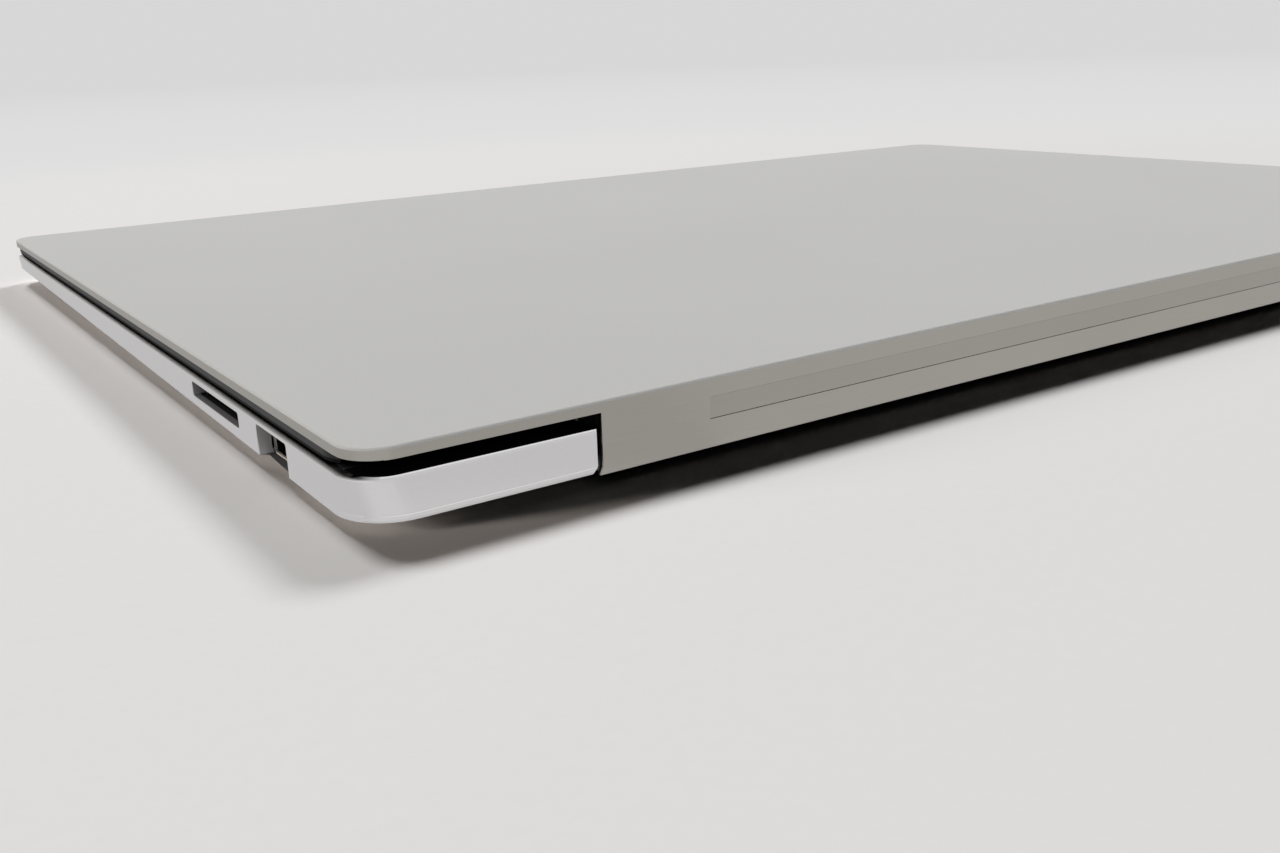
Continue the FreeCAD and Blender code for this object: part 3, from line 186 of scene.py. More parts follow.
def layer(tree, place, colour, rough, grain, metallic=0.0, ior=1.5, specular=0.5, depth=0.0, tone=0.06,
          patch=60.0, stretch=(1, 1, 1), lines=None):
    """A surface with a fine grain, slow patches of tone and a roughness that varies with them.

    grain and patch are sizes in millimetres, depth is the grain's relief in millimetres, and stretch
    lengthens the grain along an axis, as brushing does. lines changes the colour where it draws.
    """
    turned = add(tree, "ShaderNodeMapping", {"Vector": place, "Scale": [1 / s for s in stretch]})
    fine = add(tree, "ShaderNodeTexNoise", {
        "Vector": turned.outputs["Vector"], "Scale": 1 / (grain * MM), "Detail": 3.0, "Roughness": 0.6})
    slow = add(tree, "ShaderNodeTexNoise", {"Vector": place, "Scale": 1 / (patch * MM), "Detail": 2.0})
    both = add(tree, "ShaderNodeMath", {0: fine.outputs[0], 1: slow.outputs[0]}, operation="ADD")
    share = add(tree, "ShaderNodeMapRange", {
        "Value": both.outputs[0], "From Min": NOISE_LOW, "From Max": NOISE_HIGH})
    hue = add(tree, "ShaderNodeMix", {
        0: share.outputs[0], 6: rgba(shade(colour, 1 - tone)), 7: rgba(shade(colour, 1 + tone))},
        data_type="RGBA").outputs[2]
    if lines:
        hue = lines(tree, place, hue)
    gloss = add(tree, "ShaderNodeMapRange", {
        "Value": both.outputs[0], "From Min": NOISE_LOW, "From Max": NOISE_HIGH,
        "To Min": rough[0], "To Max": rough[1]})
    skin = add(tree, "ShaderNodeBsdfPrincipled", {
        "Base Color": hue, "Roughness": gloss.outputs[0], "Metallic": metallic, "IOR": ior,
        "Specular IOR Level": specular})
    if depth:
        relief = add(tree, "ShaderNodeBump", {
            "Height": fine.outputs[0], "Strength": 1.0, "Distance": depth * MM})
        tree.links.new(relief.outputs[0], skin.inputs["Normal"])
    return skin.outputs[0]


def finish(name, colour, rough, grain, zones=(), **more):
    """A material of one layer, with another layer in each zone, given as two corners and its settings.

    A zone whose settings hold a fade, as two heights, covers only its upward faces.
    """
    known = bpy.data.materials.get(name)
    if known:
        return known
    material = bpy.data.materials.new(name)
    material.use_nodes = True
    material.diffuse_color = rgba(colour)
    tree = material.node_tree
    tree.nodes.clear()
    place = add(tree, "ShaderNodeTexCoord").outputs["Object"]
    surface = layer(tree, place, colour, rough, grain, **more)
    for low, high, settings in zones:
        settings = dict(settings)
        share = within(tree, place, low, high)
        fade = settings.pop("fade", None)
        if fade:
            share = add(tree, "ShaderNodeMath", {
                0: share, 1: upward(tree, place, *fade)}, operation="MULTIPLY").outputs[0]
        surface = add(tree, "ShaderNodeMixShader", {
            0: share, 1: surface, 2: layer(tree, place, **settings)}).outputs[0]
    out = add(tree, "ShaderNodeOutputMaterial")
    tree.links.new(surface, out.inputs["Surface"])
    return material


def specks(tree, place, hue):
    """Tiny darker flecks in the satin; the real ones are finer and closer, too fine to show."""
    cells = add(tree, "ShaderNodeTexVoronoi", {"Vector": place, "Scale": 1 / SPECK_GAP})
    near = add(tree, "ShaderNodeMapRange", {
        "Value": cells.outputs["Distance"], "From Min": SPECK_CORE, "From Max": SPECK_RIM,
        "To Min": SPECK_SHARE, "To Max": 0.0})
    return add(tree, "ShaderNodeMix", {
        0: near.outputs[0], 6: hue, 7: rgba(linear("7C7A76"))}, data_type="RGBA").outputs[2]


def traces(tree, place, hue):
    """Copper tracks under the solder mask, 1.2 mm apart."""
    lanes = add(tree, "ShaderNodeTexBrick", {
        "Vector": place, "Scale": 1 / TRACE_CELL, "Mortar Size": 0.03, "Brick Width": 1.4,
        "Row Height": 0.2, "Color1": rgba((0, 0, 0)), "Color2": rgba((0, 0, 0)), "Mortar": rgba((1, 1, 1))})
    return add(tree, "ShaderNodeMix", {
        0: lanes.outputs["Color"], 6: hue, 7: rgba(linear("2E5A44"))}, data_type="RGBA").outputs[2]


def picture_edge(tree, place, hue):
    """The unlit picture area is a touch bluer than the black border printed round it."""
    low, high = span("display_panel")
    inside = within(tree, place, (low.x + BORDER_X, low.y + BORDER_Y, None),
                    (high.x - BORDER_X, high.y - BORDER_Y, None))
    return add(tree, "ShaderNodeMix", {
        0: inside, 6: hue, 7: rgba(linear("15171C"))}, data_type="RGBA").outputs[2]


# Layers that several pieces share, or that a piece has only in places

ANYWHERE = (None, None, None)

# Blasted metal: silky; its real grain is far finer than a pixel and is drawn 0.4 mm wide
BLASTED = dict(rough=(0.34, 0.42), grain=0.4, metallic=1.0, depth=0.002, tone=0.02)
# Blasted sheet of the cover and the grille: duller
SHEET = dict(rough=(0.40, 0.50), grain=0.4, metallic=0.35, depth=0.002, tone=0.02)
# Milled metal inside the openings: dull
MILLED = dict(rough=(0.70, 0.80), grain=0.3, metallic=1.0, tone=0.05)
# Painted highlight: a white edge colour that stands for the light a polished edge catches
PAINTED_EDGE_HIGHLIGHT = dict(colour=(1.0, 1.0, 1.0), rough=(0.30, 0.36), grain=0.4, metallic=1.0, tone=0.0)
# Painted shade: dead matt black where the lid and the deck face each other over the hinge, for the deep shade
# in that gap
HINGE_GAP_SHADE = dict(colour=linear("040404"), rough=(0.6, 0.7), grain=0.5, specular=0.1, tone=0.1)
# Painted shade: black on the socket shells past their lips, for the shade inside the sockets
SOCKET_INNER_SHADE = dict(colour=linear("0C0C0D"), rough=(0.5, 0.6), grain=0.4, specular=0.2)

LID_EDGE = 0.4 * MM  # height of the lid's top that isn't brushed, nor painted darker as shade
LID_REAR = 0.3 * MM  # the lid's rearmost skin, which stays brushed
HINGE_REACH = 0.1 * MM  # how far the painted black shade at the hinge reaches in front of the bezel's rear
HINGE_ABOVE = 0.05 * MM  # how far it reaches above the bezel
DECK_SKIN = 0.01 * MM  # what is this near to the deck's height belongs to the deck
CUT_H = 0.54 * MM  # height of the deck's cut edge
CUT_SHADE_FULL = 0.28 * MM  # the part of it that is fully painted dark, below the deck
CUT_SHADE_END = 0.56 * MM  # where that painted dark has faded out, below the deck
STEP_LOW = 0.95 * MM  # the fine step behind the blocks, above the base's underside
STEP_HIGH = 1.2 * MM
LOW_EDGE_SHADE_H = 0.6 * MM  # height of the edge below that step, which is painted darker as shade
REAR_BAND = 3.0 * MM  # how far forward the rear of a block counts
HIGHLIGHT_H = 0.22 * MM  # height of the painted highlight on the upper edge of a block
HIGHLIGHT_DEEP = 0.8 * MM  # how far forward that painted highlight reaches
OPENING_ROOM = 0.3 * MM  # room round a socket in its opening
OUTER_SKIN = 0.1 * MM  # the case's outer face, which isn't milled
SHELL_LIP = 0.35 * MM  # depth of a socket's bright lip

# Painted shade in each opening, as shares of the case's tone: its walls, the floor near the mouth, the floor
# further in
OPENING_SHADES = {"usb_a_socket": (0.66, 0.33, 0.20), "sd_card_socket": (0.50, 0.34, 0.04)}


def brushed(colour):
    """Brushed along its length: streaks 0.12 mm wide, too fine to see singly, that dull the mirror."""
    return dict(colour=colour, rough=(0.36, 0.46), grain=0.12, metallic=1.0, depth=0.001, tone=0.05,
                patch=40.0, stretch=(60, 1, 1))


def lid_zones(hinge_side_shade):
    """The lid is brushed on its edges and its hinge side and painted darker there as shade, and painted black
    where it faces the deck, for the deep shade in that gap.
    """
    top = span("lid_cover")[1]
    rear = span("display_bezel")[1]
    return (
        (ANYWHERE, (None, None, top.z - LID_EDGE), brushed(hinge_side_shade)),
        ((None, rear.y - HINGE_REACH, None), (None, top.y - LID_REAR, rear.z + HINGE_ABOVE), HINGE_GAP_SHADE))


def opening_shade_zones(case):
    """Milled walls and floors of the openings in the right side, greyer than the outside: partly their milled
    finish, partly painted shade, darkest deep in.
    """
    outside = span("top_case")[1].x
    mouth = span("usb_a_socket")[1].x
    around = Vector((0, OPENING_ROOM, OPENING_ROOM))
    zones = []
    for node, (wall, floor, deep) in OPENING_SHADES.items():
        low, high = span(node)
        low, high = low - around, high + around
        inner = (mouth, low.y, low.z)
        # The fade ends below the opening, so all of its floor counts
        level = dict(MILLED, fade=(low.z - 2 * MM, low.z - 1 * MM))
        near = (outside - OUTER_SKIN, high.y, high.z)
        zones.append((inner, near, dict(MILLED, colour=shade(case, wall))))
        zones.append((inner, near, dict(level, colour=shade(case, floor))))
        # The far half of the floor gets the darkest painted shade
        half_way = ((mouth + outside) / 2, high.y, high.z)
        zones.append((inner, half_way, dict(level, colour=shade(case, deep))))
    return zones


def case_zones(case):
    """The base's cut deck edge painted dark, its rear blocks with a painted highlight and painted shade, the
    black painted shade on the deck at the hinge, and the openings.
    """
    low, deck = span("top_case")
    rear = span("display_bezel")[1]
    # The sloped edge of the deck is cut smooth, painted dark where it leaves the gap as the dark reflection
    # of the shade there, and bright towards the wall
    cut = dict(colour=shade(case, 0.10), rough=(0.12, 0.20), grain=0.4, metallic=1.0, tone=0.02,
               fade=(deck.z - CUT_SHADE_END, deck.z - CUT_SHADE_FULL))
    # Painted shade: the step behind the blocks and the edge below it are a shade darker, which tones down the
    # step's highlight and darkens the base towards its bottom
    step = dict(BLASTED, colour=shade(case, 0.87))
    edge = dict(BLASTED, colour=shade(case, 0.90))
    behind = deck.y - REAR_BAND
    return (
        ((None, None, deck.z - CUT_H), (None, None, deck.z - DECK_SKIN), cut),
        ((None, deck.y - HIGHLIGHT_DEEP, deck.z - HIGHLIGHT_H), ANYWHERE, PAINTED_EDGE_HIGHLIGHT),
        ((None, behind, low.z + STEP_LOW), (None, None, low.z + STEP_HIGH), step),
        ((None, behind, None), (None, None, low.z + LOW_EDGE_SHADE_H), edge),
        ((None, rear.y - HINGE_REACH, deck.z - DECK_SKIN), ANYWHERE, HINGE_GAP_SHADE),
        *opening_shade_zones(case))


def shell_zones():
    """The socket shells are black inside their bright lips, and the card socket all over: painted shade for
    the dark inside them.
    """
    mouth = span("usb_a_socket")[1].x
    low, high = span("sd_card_socket")
    return (
        ((SHELL_LIP - mouth, None, None), (mouth - SHELL_LIP, None, None), SOCKET_INNER_SHADE),
        ((0, low.y, None), (None, high.y, None), SOCKET_INNER_SHADE))


def finishes(colours):
    """Every finish of the laptop, under the material slot that it goes with."""
    lid = tuple(colours.lid)
    case = tuple(colours.case)
    hinge_side_shade = tuple(colours.hinge_side_shade)
    return {
        # Blasted and satin anodised on top: pale and even; brushed on the edges and the hinge side, which are
        # painted darker as shade, with painted black shade where it faces the deck
        "lid_metal": finish("Aluminium, satin anodised", lid, (0.42, 0.50), 0.35, metallic=0.5, depth=0.0015,
                            tone=0.02, patch=90.0, lines=specks, zones=lid_zones(hinge_side_shade)),
        # Blasted and anodised: a silky, nearly white metal, with a painted highlight and painted shade in
        # places
        "case_metal": finish("Aluminium, blasted and clear anodised", case, **BLASTED,
                             zones=case_zones(case)),
        # Pressed, then blasted: nearly as pale as the base, and duller
        "cover_metal": finish("Aluminium, blasted cover", shade(case, 0.97), **SHEET),
        # The inlay of the hinge side, brushed with it and a shade darker than its painted-shade tone
        "strip_metal": finish("Aluminium, brushed inlay", **brushed(shade(hinge_side_shade, 0.93))),
        # Punched, then blasted: dull, and a shade darker than the deck round it
        "grille_metal": finish("Aluminium, punched and anodised", shade(case, 0.93), **SHEET),
        # Moulded black frame, with a spark-eroded grain that keeps its shine low
        "frame_plastic": finish("Polycarbonate, moulded", linear("1B1C1E"), (0.42, 0.55), 0.5,
                                specular=0.25, depth=0.006, tone=0.12),
        # Soft lip: nearly black, matt and slightly patchy
        "seal_rubber": finish("Silicone rubber, moulded", linear("0A0A0B"), (0.62, 0.75), 0.8,
                              specular=0.12, depth=0.004, tone=0.15),
        # Feet: dark grey, matt and slightly pitted
        "foot_rubber": finish("Nitrile rubber, moulded", linear("2B2B2D"), (0.60, 0.78), 0.6,
                              depth=0.01, tone=0.18),
        # Bonded cover glass over an unlit panel: black, with a clear reflection
        "panel_glass": finish("Display glass, bonded", linear("08090B"), (0.07, 0.11), 3.0, ior=1.52,
                              tone=0.1, lines=picture_edge),
        # Small coated lens: nearly black, with a blue cast and sharp reflections
        "lens_glass": finish("Lens glass, coated", linear("0B0C14"), (0.03, 0.06), 2.0, ior=1.6, tone=0.1),
        # Etched glass of the touchpad: silky and a shade greyer than the deck
        "pad_glass": finish("Etched glass, tinted", shade(case, 0.88), (0.30, 0.38), 0.5, ior=1.52,
                            depth=0.001, tone=0.015),
        # Key caps: moulded, with a fine sparked grain that fingers polish in patches
        "key_plastic": finish("ABS, moulded", tuple(colours.keys), (0.44, 0.60), 0.3, depth=0.006,
                              tone=0.03, patch=12.0),
        # Turned pins and folded brackets: grey, with fine streaks
        "steel": finish("Stainless steel, rolled", linear("A9A9AA"), (0.24, 0.38), 0.2, metallic=1.0,
                        tone=0.06, stretch=(20, 1, 1)),
        # Small plated screws: bright, and a warm grey
        "screw_steel": finish("Carbon steel, nickel plated", linear("B8B5AE"), (0.22, 0.34), 0.3,
                              metallic=1.0, tone=0.06),
        # Folded shells of the sockets: a near-white lip at the mouth, pale partly as a painted highlight, and
        # painted black shade further in and for cards
        "shell_steel": finish("Sheet steel, tin plated", linear("F8F6F3"), (0.30, 0.40), 0.4, metallic=0.1,
                              tone=0.02, zones=shell_zones()),
        # Solder mask over glass fibre: dark green, with the tracks showing through
        "board": finish("Glass epoxy laminate, solder masked", linear("16382A"), (0.30, 0.42), 0.5,
                        tone=0.1, lines=traces),
        # Moulded chip packages: black and matt
        "chip": finish("Epoxy, moulded", linear("1A1A1B"), (0.50, 0.62), 0.4, depth=0.004, tone=0.1),
        # Drawn and flattened heat pipes: reddish, with faint drawing lines
        "copper": finish("Copper, drawn", linear("B4704F"), (0.24, 0.36), 0.5, metallic=1.0, tone=0.08,
                         stretch=(10, 1, 1)),
        # Rolled fins: pale and half bright
        "fin_metal": finish("Aluminium, rolled", linear("B9BABB"), (0.28, 0.40), 0.5, metallic=1.0,
                            tone=0.06),
        # Fan scrolls and wheels: dark, and dull from the glass in them
        "fan_plastic": finish("Glass filled nylon, moulded", linear("202123"), (0.45, 0.6), 0.6,
                              depth=0.004, tone=0.12),
        # Film wrapped round the cells: dark, shiny and slightly wavy
        "cell_wrap": finish("Polyester film, wrapped", linear("232427"), (0.26, 0.40), 6.0, depth=0.02,
                            tone=0.1),
        # Jacket of the panel lead: black and half matt
        "lead_jacket": finish("PVC, extruded", linear("1D1D1E"), (0.40, 0.55), 0.8, depth=0.004, tone=0.1),
        # Printed and baked legends: flat and dark grey
        "legend_ink": finish("Screen ink, baked", tuple(colours.legends), (0.5, 0.6), 0.3, tone=0.08),
        # Gold flash on the spring contacts: yellow and bright
        "contact_gold": finish("Copper alloy, gold flashed", linear("D2AE62"), (0.2, 0.3), 0.5,
                               metallic=1.0, tone=0.05),
    }


# Meshes

MERGE = 0.001 * MM  # corners nearer to each other than this are one


def piece_from(name, mesh, material, body):
    """A plain mesh as a finished piece that rides on a body."""
    mesh.name = name
    if not mesh.materials:
        mesh.materials.append(material)
    piece = bpy.data.objects.new(name, mesh)
    bpy.context.scene.collection.objects.link(piece)
    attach(piece, body)
    return piece


def mesh_of(bm, name):
    """An edited mesh as a plain one."""
    mesh = bpy.data.meshes.new(name)
    bm.to_mesh(mesh)
    bm.free()
    return mesh


def joined(meshes, name):
    """Several meshes as one, with the first one's materials."""
    bm = bmesh.new()
    for mesh in meshes:
        bm.from_mesh(mesh)
        bpy.data.meshes.remove(mesh)
    return mesh_of(bm, name)


def bridge(bm, rings):
    """Bands of faces from each ring of corners to the next."""
    for one, two in zip(rings, rings[1:]):
        for i in range(len(one)):
            j = (i + 1) % len(one)
            bm.faces.new((one[i], one[j], two[j], two[i]))


def evaluated(obj):
    """An object's mesh as its modifiers, or its lettering, make it."""
    graph = bpy.context.evaluated_depsgraph_get()
    return bpy.data.meshes.new_from_object(obj.evaluated_get(graph), depsgraph=graph)


def baked(base, tree, values):
    """The plain mesh that a Geometry Nodes tree makes of a base object, which is then removed."""
    modifier = base.modifiers.new("Nodes", "NODES")
    modifier.node_group = tree
    for item in tree.interface.items_tree:
        if item.item_type == "SOCKET" and item.in_out == "INPUT" and item.name in values:
            modifier[item.identifier] = values[item.name]
    base.update_tag()
    mesh = evaluated(base)
    base.modifiers.remove(modifier)
    data = base.data
    bpy.data.objects.remove(base)
    bpy.data.meshes.remove(data)
    bpy.data.node_groups.remove(tree)
    if not mesh.polygons:
        raise RuntimeError("the nodes made no faces")
    return mesh


def node_tree(name, sockets):
    """An empty Geometry Nodes tree with a geometry in and out and the named inputs."""
    tree = bpy.data.node_groups.new(name, "GeometryNodeTree")
    face = tree.interface
    face.new_socket("Geometry", in_out="INPUT", socket_type="NodeSocketGeometry")
    for socket, kind in sockets:
        face.new_socket(socket, in_out="INPUT", socket_type=kind)
    face.new_socket("Geometry", in_out="OUTPUT", socket_type="NodeSocketGeometry")
    return tree, add(tree, "NodeGroupInput"), add(tree, "NodeGroupOutput")


def close_tree(tree, out, geometry, material):
    """Ends a tree in plain geometry with its material."""
    real = add(tree, "GeometryNodeRealizeInstances", {0: geometry})
    painted = add(tree, "GeometryNodeSetMaterial", {"Geometry": real.outputs[0], "Material": material})
    tree.links.new(painted.outputs[0], out.inputs[0])


def points_object(name, places):
    """Loose points as an object, for a tree to work on."""
    mesh = bpy.data.meshes.new(name)
    mesh.from_pydata([tuple(p) for p in places], [], [])
    obj = bpy.data.objects.new(name, mesh)
    bpy.context.scene.collection.objects.link(obj)
    return obj


def copies_at(name, places, template, material):
    """One template mesh at each of the places, through Geometry Nodes."""
    model = bpy.data.objects.new(name + "_model", template)
    bpy.context.scene.collection.objects.link(model)
    tree, into, out = node_tree(name, [("Model", "NodeSocketObject"), ("Scale", "NodeSocketFloat")])
    info = add(tree, "GeometryNodeObjectInfo", {"Object": into.outputs["Model"]})
    dots = add(tree, "GeometryNodeMeshToPoints", {"Mesh": into.outputs["Geometry"]})
    many = add(tree, "GeometryNodeInstanceOnPoints", {
        "Points": dots.outputs[0], "Instance": info.outputs["Geometry"], "Scale": into.outputs["Scale"]})
    close_tree(tree, out, many.outputs[0], material)
    mesh = baked(points_object(name, places), tree, {"Model": model, "Scale": 1.0})
    bpy.data.objects.remove(model)
    bpy.data.meshes.remove(template)
    return mesh


# Keyboard legends

CAPITAL = 0.7  # height of a capital as a share of the font's size
KEY_GAP = 2.5 * MM
KEYS_ACROSS = 15  # key widths from the first digit's left side to the last key's right side
SIGN_R = 1.3 * MM  # half the height of an arrow or of the power sign
ARROW_BACK = 0.6  # how far an arrow reaches back, as a share of its reach forward
# The power sign's ring in degrees, and its inner radius and its bar as shares of its radius
RING_FROM, RING_TO, RING_STEP = 125, 415, 10
RING_INNER = 0.78
BAR_HALF, BAR_LOW, BAR_HIGH = 0.11, 0.25, 1.1


def row_of(labels, first=1.0, last=1.0):
    """The labels of a row, each with its key's width; only the end keys may be wider than one."""
    return list(zip(labels, [first] + [1.0] * (len(labels) - 2) + [last]))


# Where each row of letters starts, in key widths, and its keys
LETTER_ROWS = {
    "number_keys": (0.0, row_of("`1234567890-=")),
    "upper_letter_keys": (0.0, row_of(["tab", *"QWERTYUIOP[]", "\\"], first=1.5, last=1.5)),
    "home_letter_keys": (0.0, row_of(["caps", *"ASDFGHJKL;'"], first=1.75)),
    "lower_letter_keys": (2.25, row_of("ZXCVBNM,./")),
}
FUNCTION_ROW = row_of(["F%d" % i for i in range(1, 13)] + ["del"])
# The bare one is the space bar
MODIFIER_ROW = [("ctrl", 1.25), ("fn", 1.0), ("meta", 1.0), ("alt", 1.25), ("", 5.5), ("alt", 1.0),
                ("ctrl", 1.0)]
SINGLE_KEYS = {"escape_key": "esc", "backspace_key": "back", "enter_key": "enter",
               "left_shift_key": "shift", "right_shift_key": "shift"}
# Column of each arrow key and the way that it points
ARROWS = ((0, -1, 0), (1, 0, 1), (1, 0, -1), (2, 1, 0))


def word(text, height, at):
    """Plain lettering as a thin mesh that faces up, centred on a place."""
    curve = bpy.data.curves.new("word", "FONT")
    curve.body = text
    curve.size = height / CAPITAL
    curve.align_x = "CENTER"
    curve.align_y = "CENTER"
    curve.resolution_u = 2
    curve.extrude = bpy.context.scene.laptop_sizes.ink
    obj = bpy.data.objects.new("word", curve)
    bpy.context.scene.collection.objects.link(obj)
    mesh = evaluated(obj)
    bpy.data.objects.remove(obj)
    bpy.data.curves.remove(curve)
    mesh.transform(Matrix.Translation(at))
    return mesh


def solid(outline, at, high):
    """A small flat sign, an outline in the plane, raised by the ink."""
    bm = bmesh.new()
    face = bm.faces.new([bm.verts.new((x, y, -high)) for x, y in outline])
    top = bmesh.ops.extrude_face_region(bm, geom=[face])["geom"]
    bmesh.ops.translate(bm, vec=(0, 0, 2 * high), verts=[v for v in top if isinstance(v, bmesh.types.BMVert)])
    bmesh.ops.recalc_face_normals(bm, faces=bm.faces)
    mesh = mesh_of(bm, "sign")
    mesh.transform(Matrix.Translation(at))
    return mesh


def power_sign(r, at, high):
    """A ring that is open at the top, with a bar in the opening."""
    turn = [math.radians(a) for a in range(RING_FROM, RING_TO + 1, RING_STEP)]
    ring = [(r * math.cos(a), r * math.sin(a)) for a in turn]
    ring += [(RING_INNER * r * math.cos(a), RING_INNER * r * math.sin(a)) for a in reversed(turn)]
    bar = [(BAR_HALF * r * x, y * r) for x, y in ((-1, BAR_LOW), (1, BAR_LOW), (1, BAR_HIGH), (-1, BAR_HIGH))]
    return [solid(ring, at, high), solid(bar, at, high)]


def arrow(r, dx, dy):
    """Outline of an arrow head that points along one axis."""
    back = r * ARROW_BACK
    return [(r * dx, r * dy), (-back * dx - r * dy, -back * dy + r * dx),
            (-back * dx + r * dy, -back * dy - r * dx)]


def top_middle(node):
    """The middle of a key's upper face."""
    low, high = span(node)
    return Vector(((low.x + high.x) / 2, (low.y + high.y) / 2, high.z))


def row_marks(node, left, unit, keys, sizes):
    """The marks of a row of keys, worked out from its left end in key widths."""
    at = top_middle(node)
    x = left
    for label, wide in keys:
        if label:
            height = sizes.letter if len(label) == 1 else sizes.word
            yield node, word(label, height, Vector((x + wide * unit / 2, at.y, at.z)))
        x += wide * unit


def key_marks(sizes):
    """Every mark on the keyboard, each with the node of its key."""
    low = span("number_keys")[0]
    unit = (span("backspace_key")[1].x - low.x + KEY_GAP) / KEYS_ACROSS
    left = low.x - KEY_GAP / 2
    for node, (start, keys) in LETTER_ROWS.items():
        yield from row_marks(node, left + start * unit, unit, keys, sizes)
    for node, label in SINGLE_KEYS.items():
        yield node, word(label, sizes.word, top_middle(node))
    low, high = span("function_keys")
    step = (high.x - low.x + KEY_GAP) / len(FUNCTION_ROW)
    yield from row_marks("function_keys", low.x - KEY_GAP / 2, step, FUNCTION_ROW, sizes)
    yield from row_marks("modifier_keys", left, unit, MODIFIER_ROW, sizes)
    low, high = span("arrow_keys")
    for column, dx, dy in ARROWS:
        at = top_middle("arrow_keys")
        at.x = low.x - KEY_GAP / 2 + (column + 0.5) * unit
        at.y += dy * (high.y - low.y + KEY_GAP) / 4
        yield "arrow_keys", solid(arrow(SIGN_R, dx, dy), at, sizes.ink)
    for mesh in power_sign(SIGN_R, top_middle("power_key"), sizes.ink):
        yield "power_key", mesh


class LAPTOP_OT_legends(bpy.types.Operator):
    """Prints the letters, digits and words on the keys"""
    bl_idname = "laptop.legends"
    bl_label = "Key legends"

    def execute(self, context):
        ink = finishes(context.scene.laptop_colours)["legend_ink"]
        body_of = {node: body for body, group in frame["record"]["behaviour"]["bodies"].items()
                   for node in group}
        marks = {}
        for node, mesh in key_marks(context.scene.laptop_sizes):
            marks.setdefault(node, []).append(mesh)
        for node, meshes in marks.items():
            mesh = joined(meshes, node + "_legends")
            piece_from(node + "_legends", mesh, ink, body_of[node])
        return {"FINISHED"}


# Air grille

def grille_tree(material):
    """Sheet of square cells; each inner cell gets a hole, which smoothing rounds."""
    tree, into, out = node_tree("Punched sheet", [
        ("Width", "NodeSocketFloat"), ("Depth", "NodeSocketFloat"), ("Columns", "NodeSocketInt"),
        ("Rows", "NodeSocketInt"), ("Pitch X", "NodeSocketFloat"), ("Pitch Y", "NodeSocketFloat"),
        ("Hole Share", "NodeSocketFloat")])
    given = into.outputs
    columns = add(tree, "ShaderNodeMath", {0: given["Columns"], 1: 1.0}, operation="ADD")
    rows = add(tree, "ShaderNodeMath", {0: given["Rows"], 1: 1.0}, operation="ADD")
    sheet = add(tree, "GeometryNodeMeshGrid", {
        "Size X": given["Width"], "Size Y": given["Depth"], "Vertices X": columns.outputs[0],
        "Vertices Y": rows.outputs[0]})
    place = add(tree, "ShaderNodeSeparateXYZ", {0: add(tree, "GeometryNodeInputPosition").outputs[0]})
    inside = []
    for axis, size, pitch in ((0, "Width", "Pitch X"), (1, "Depth", "Pitch Y")):
        far = add(tree, "ShaderNodeMath", {0: place.outputs[axis]}, operation="ABSOLUTE")
        half = add(tree, "ShaderNodeMath", {0: given[size], 1: 0.5}, operation="MULTIPLY")
        edge = add(tree, "ShaderNodeMath", {0: half.outputs[0], 1: given[pitch]}, operation="SUBTRACT")
        inside.append(add(tree, "ShaderNodeMath", {0: far.outputs[0], 1: edge.outputs[0]},
                          operation="LESS_THAN").outputs[0])
    both = add(tree, "ShaderNodeMath", {0: inside[0], 1: inside[1]}, operation="MULTIPLY")
    raised = add(tree, "GeometryNodeExtrudeMesh", {
        "Mesh": sheet.outputs["Mesh"], "Selection": both.outputs[0], "Offset Scale": 0.0,
        "Individual": True}, mode="FACES")
    shrunk = add(tree, "GeometryNodeScaleElements", {
        "Geometry": raised.outputs["Mesh"], "Selection": raised.outputs["Top"],
        "Scale": given["Hole Share"]})
    punched = add(tree, "GeometryNodeDeleteGeometry", {
        "Geometry": shrunk.outputs[0], "Selection": raised.outputs["Top"]}, domain="FACE")
    rounded = add(tree, "GeometryNodeSubdivisionSurface", {
        "Mesh": punched.outputs[0], "Level": 1}, boundary_smooth="PRESERVE_CORNERS")
    close_tree(tree, out, rounded.outputs[0], material)
    return tree


class LAPTOP_OT_grille(bpy.types.Operator):
    """Punches the air grille between the keys and the hinge"""
    bl_idname = "laptop.grille"
    bl_label = "Air grille"

    def execute(self, context):
        sizes = context.scene.laptop_sizes
        low, high = span("air_grille")
        wide = high.x - low.x
        deep = high.y - low.y
        columns = round(wide / sizes.grille_pitch)
        rows = round(deep / sizes.grille_pitch)
        metal = finishes(context.scene.laptop_colours)["grille_metal"]
        mesh = baked(points_object("grille", [(0, 0, 0)]), grille_tree(metal), {
            "Width": wide, "Depth": deep, "Columns": columns, "Rows": rows,
            "Pitch X": wide / columns, "Pitch Y": deep / rows, "Hole Share": sizes.grille_open})
        mesh.transform(Matrix.Translation(((low.x + high.x) / 2, (low.y + high.y) / 2, high.z)))
        bm = bmesh.new()
        bm.from_mesh(mesh)
        bpy.data.meshes.remove(mesh)
        bmesh.ops.remove_doubles(bm, verts=bm.verts, dist=MERGE)
        # The sheet gets its thickness downwards, so its face stays level with the deck
        faces = list(bm.faces)
        under = bmesh.ops.extrude_face_region(bm, geom=faces)["geom"]
        bmesh.ops.translate(bm, vec=(0, 0, low.z - high.z),
                            verts=[v for v in under if isinstance(v, bmesh.types.BMVert)])
        bmesh.ops.recalc_face_normals(bm, faces=bm.faces)
        piece = piece_from("punched_grille", mesh_of(bm, "punched_grille"), metal, "base")
        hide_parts("air_grille")
        return {"FINISHED"}


# Screws, contacts and lens

SCREW_HEAD_H = 0.9 * MM
# Outline of a head from its seat over the rim into the recess: radius and height as shares of the head's
SCREW_OUTLINE = ((1.0, 1.0), (1.0, 0.12), (0.93, 0.0), (0.5, 0.0), (0.47, 0.55))
RECESS = 0.5  # the recess begins at this share of the head's radius
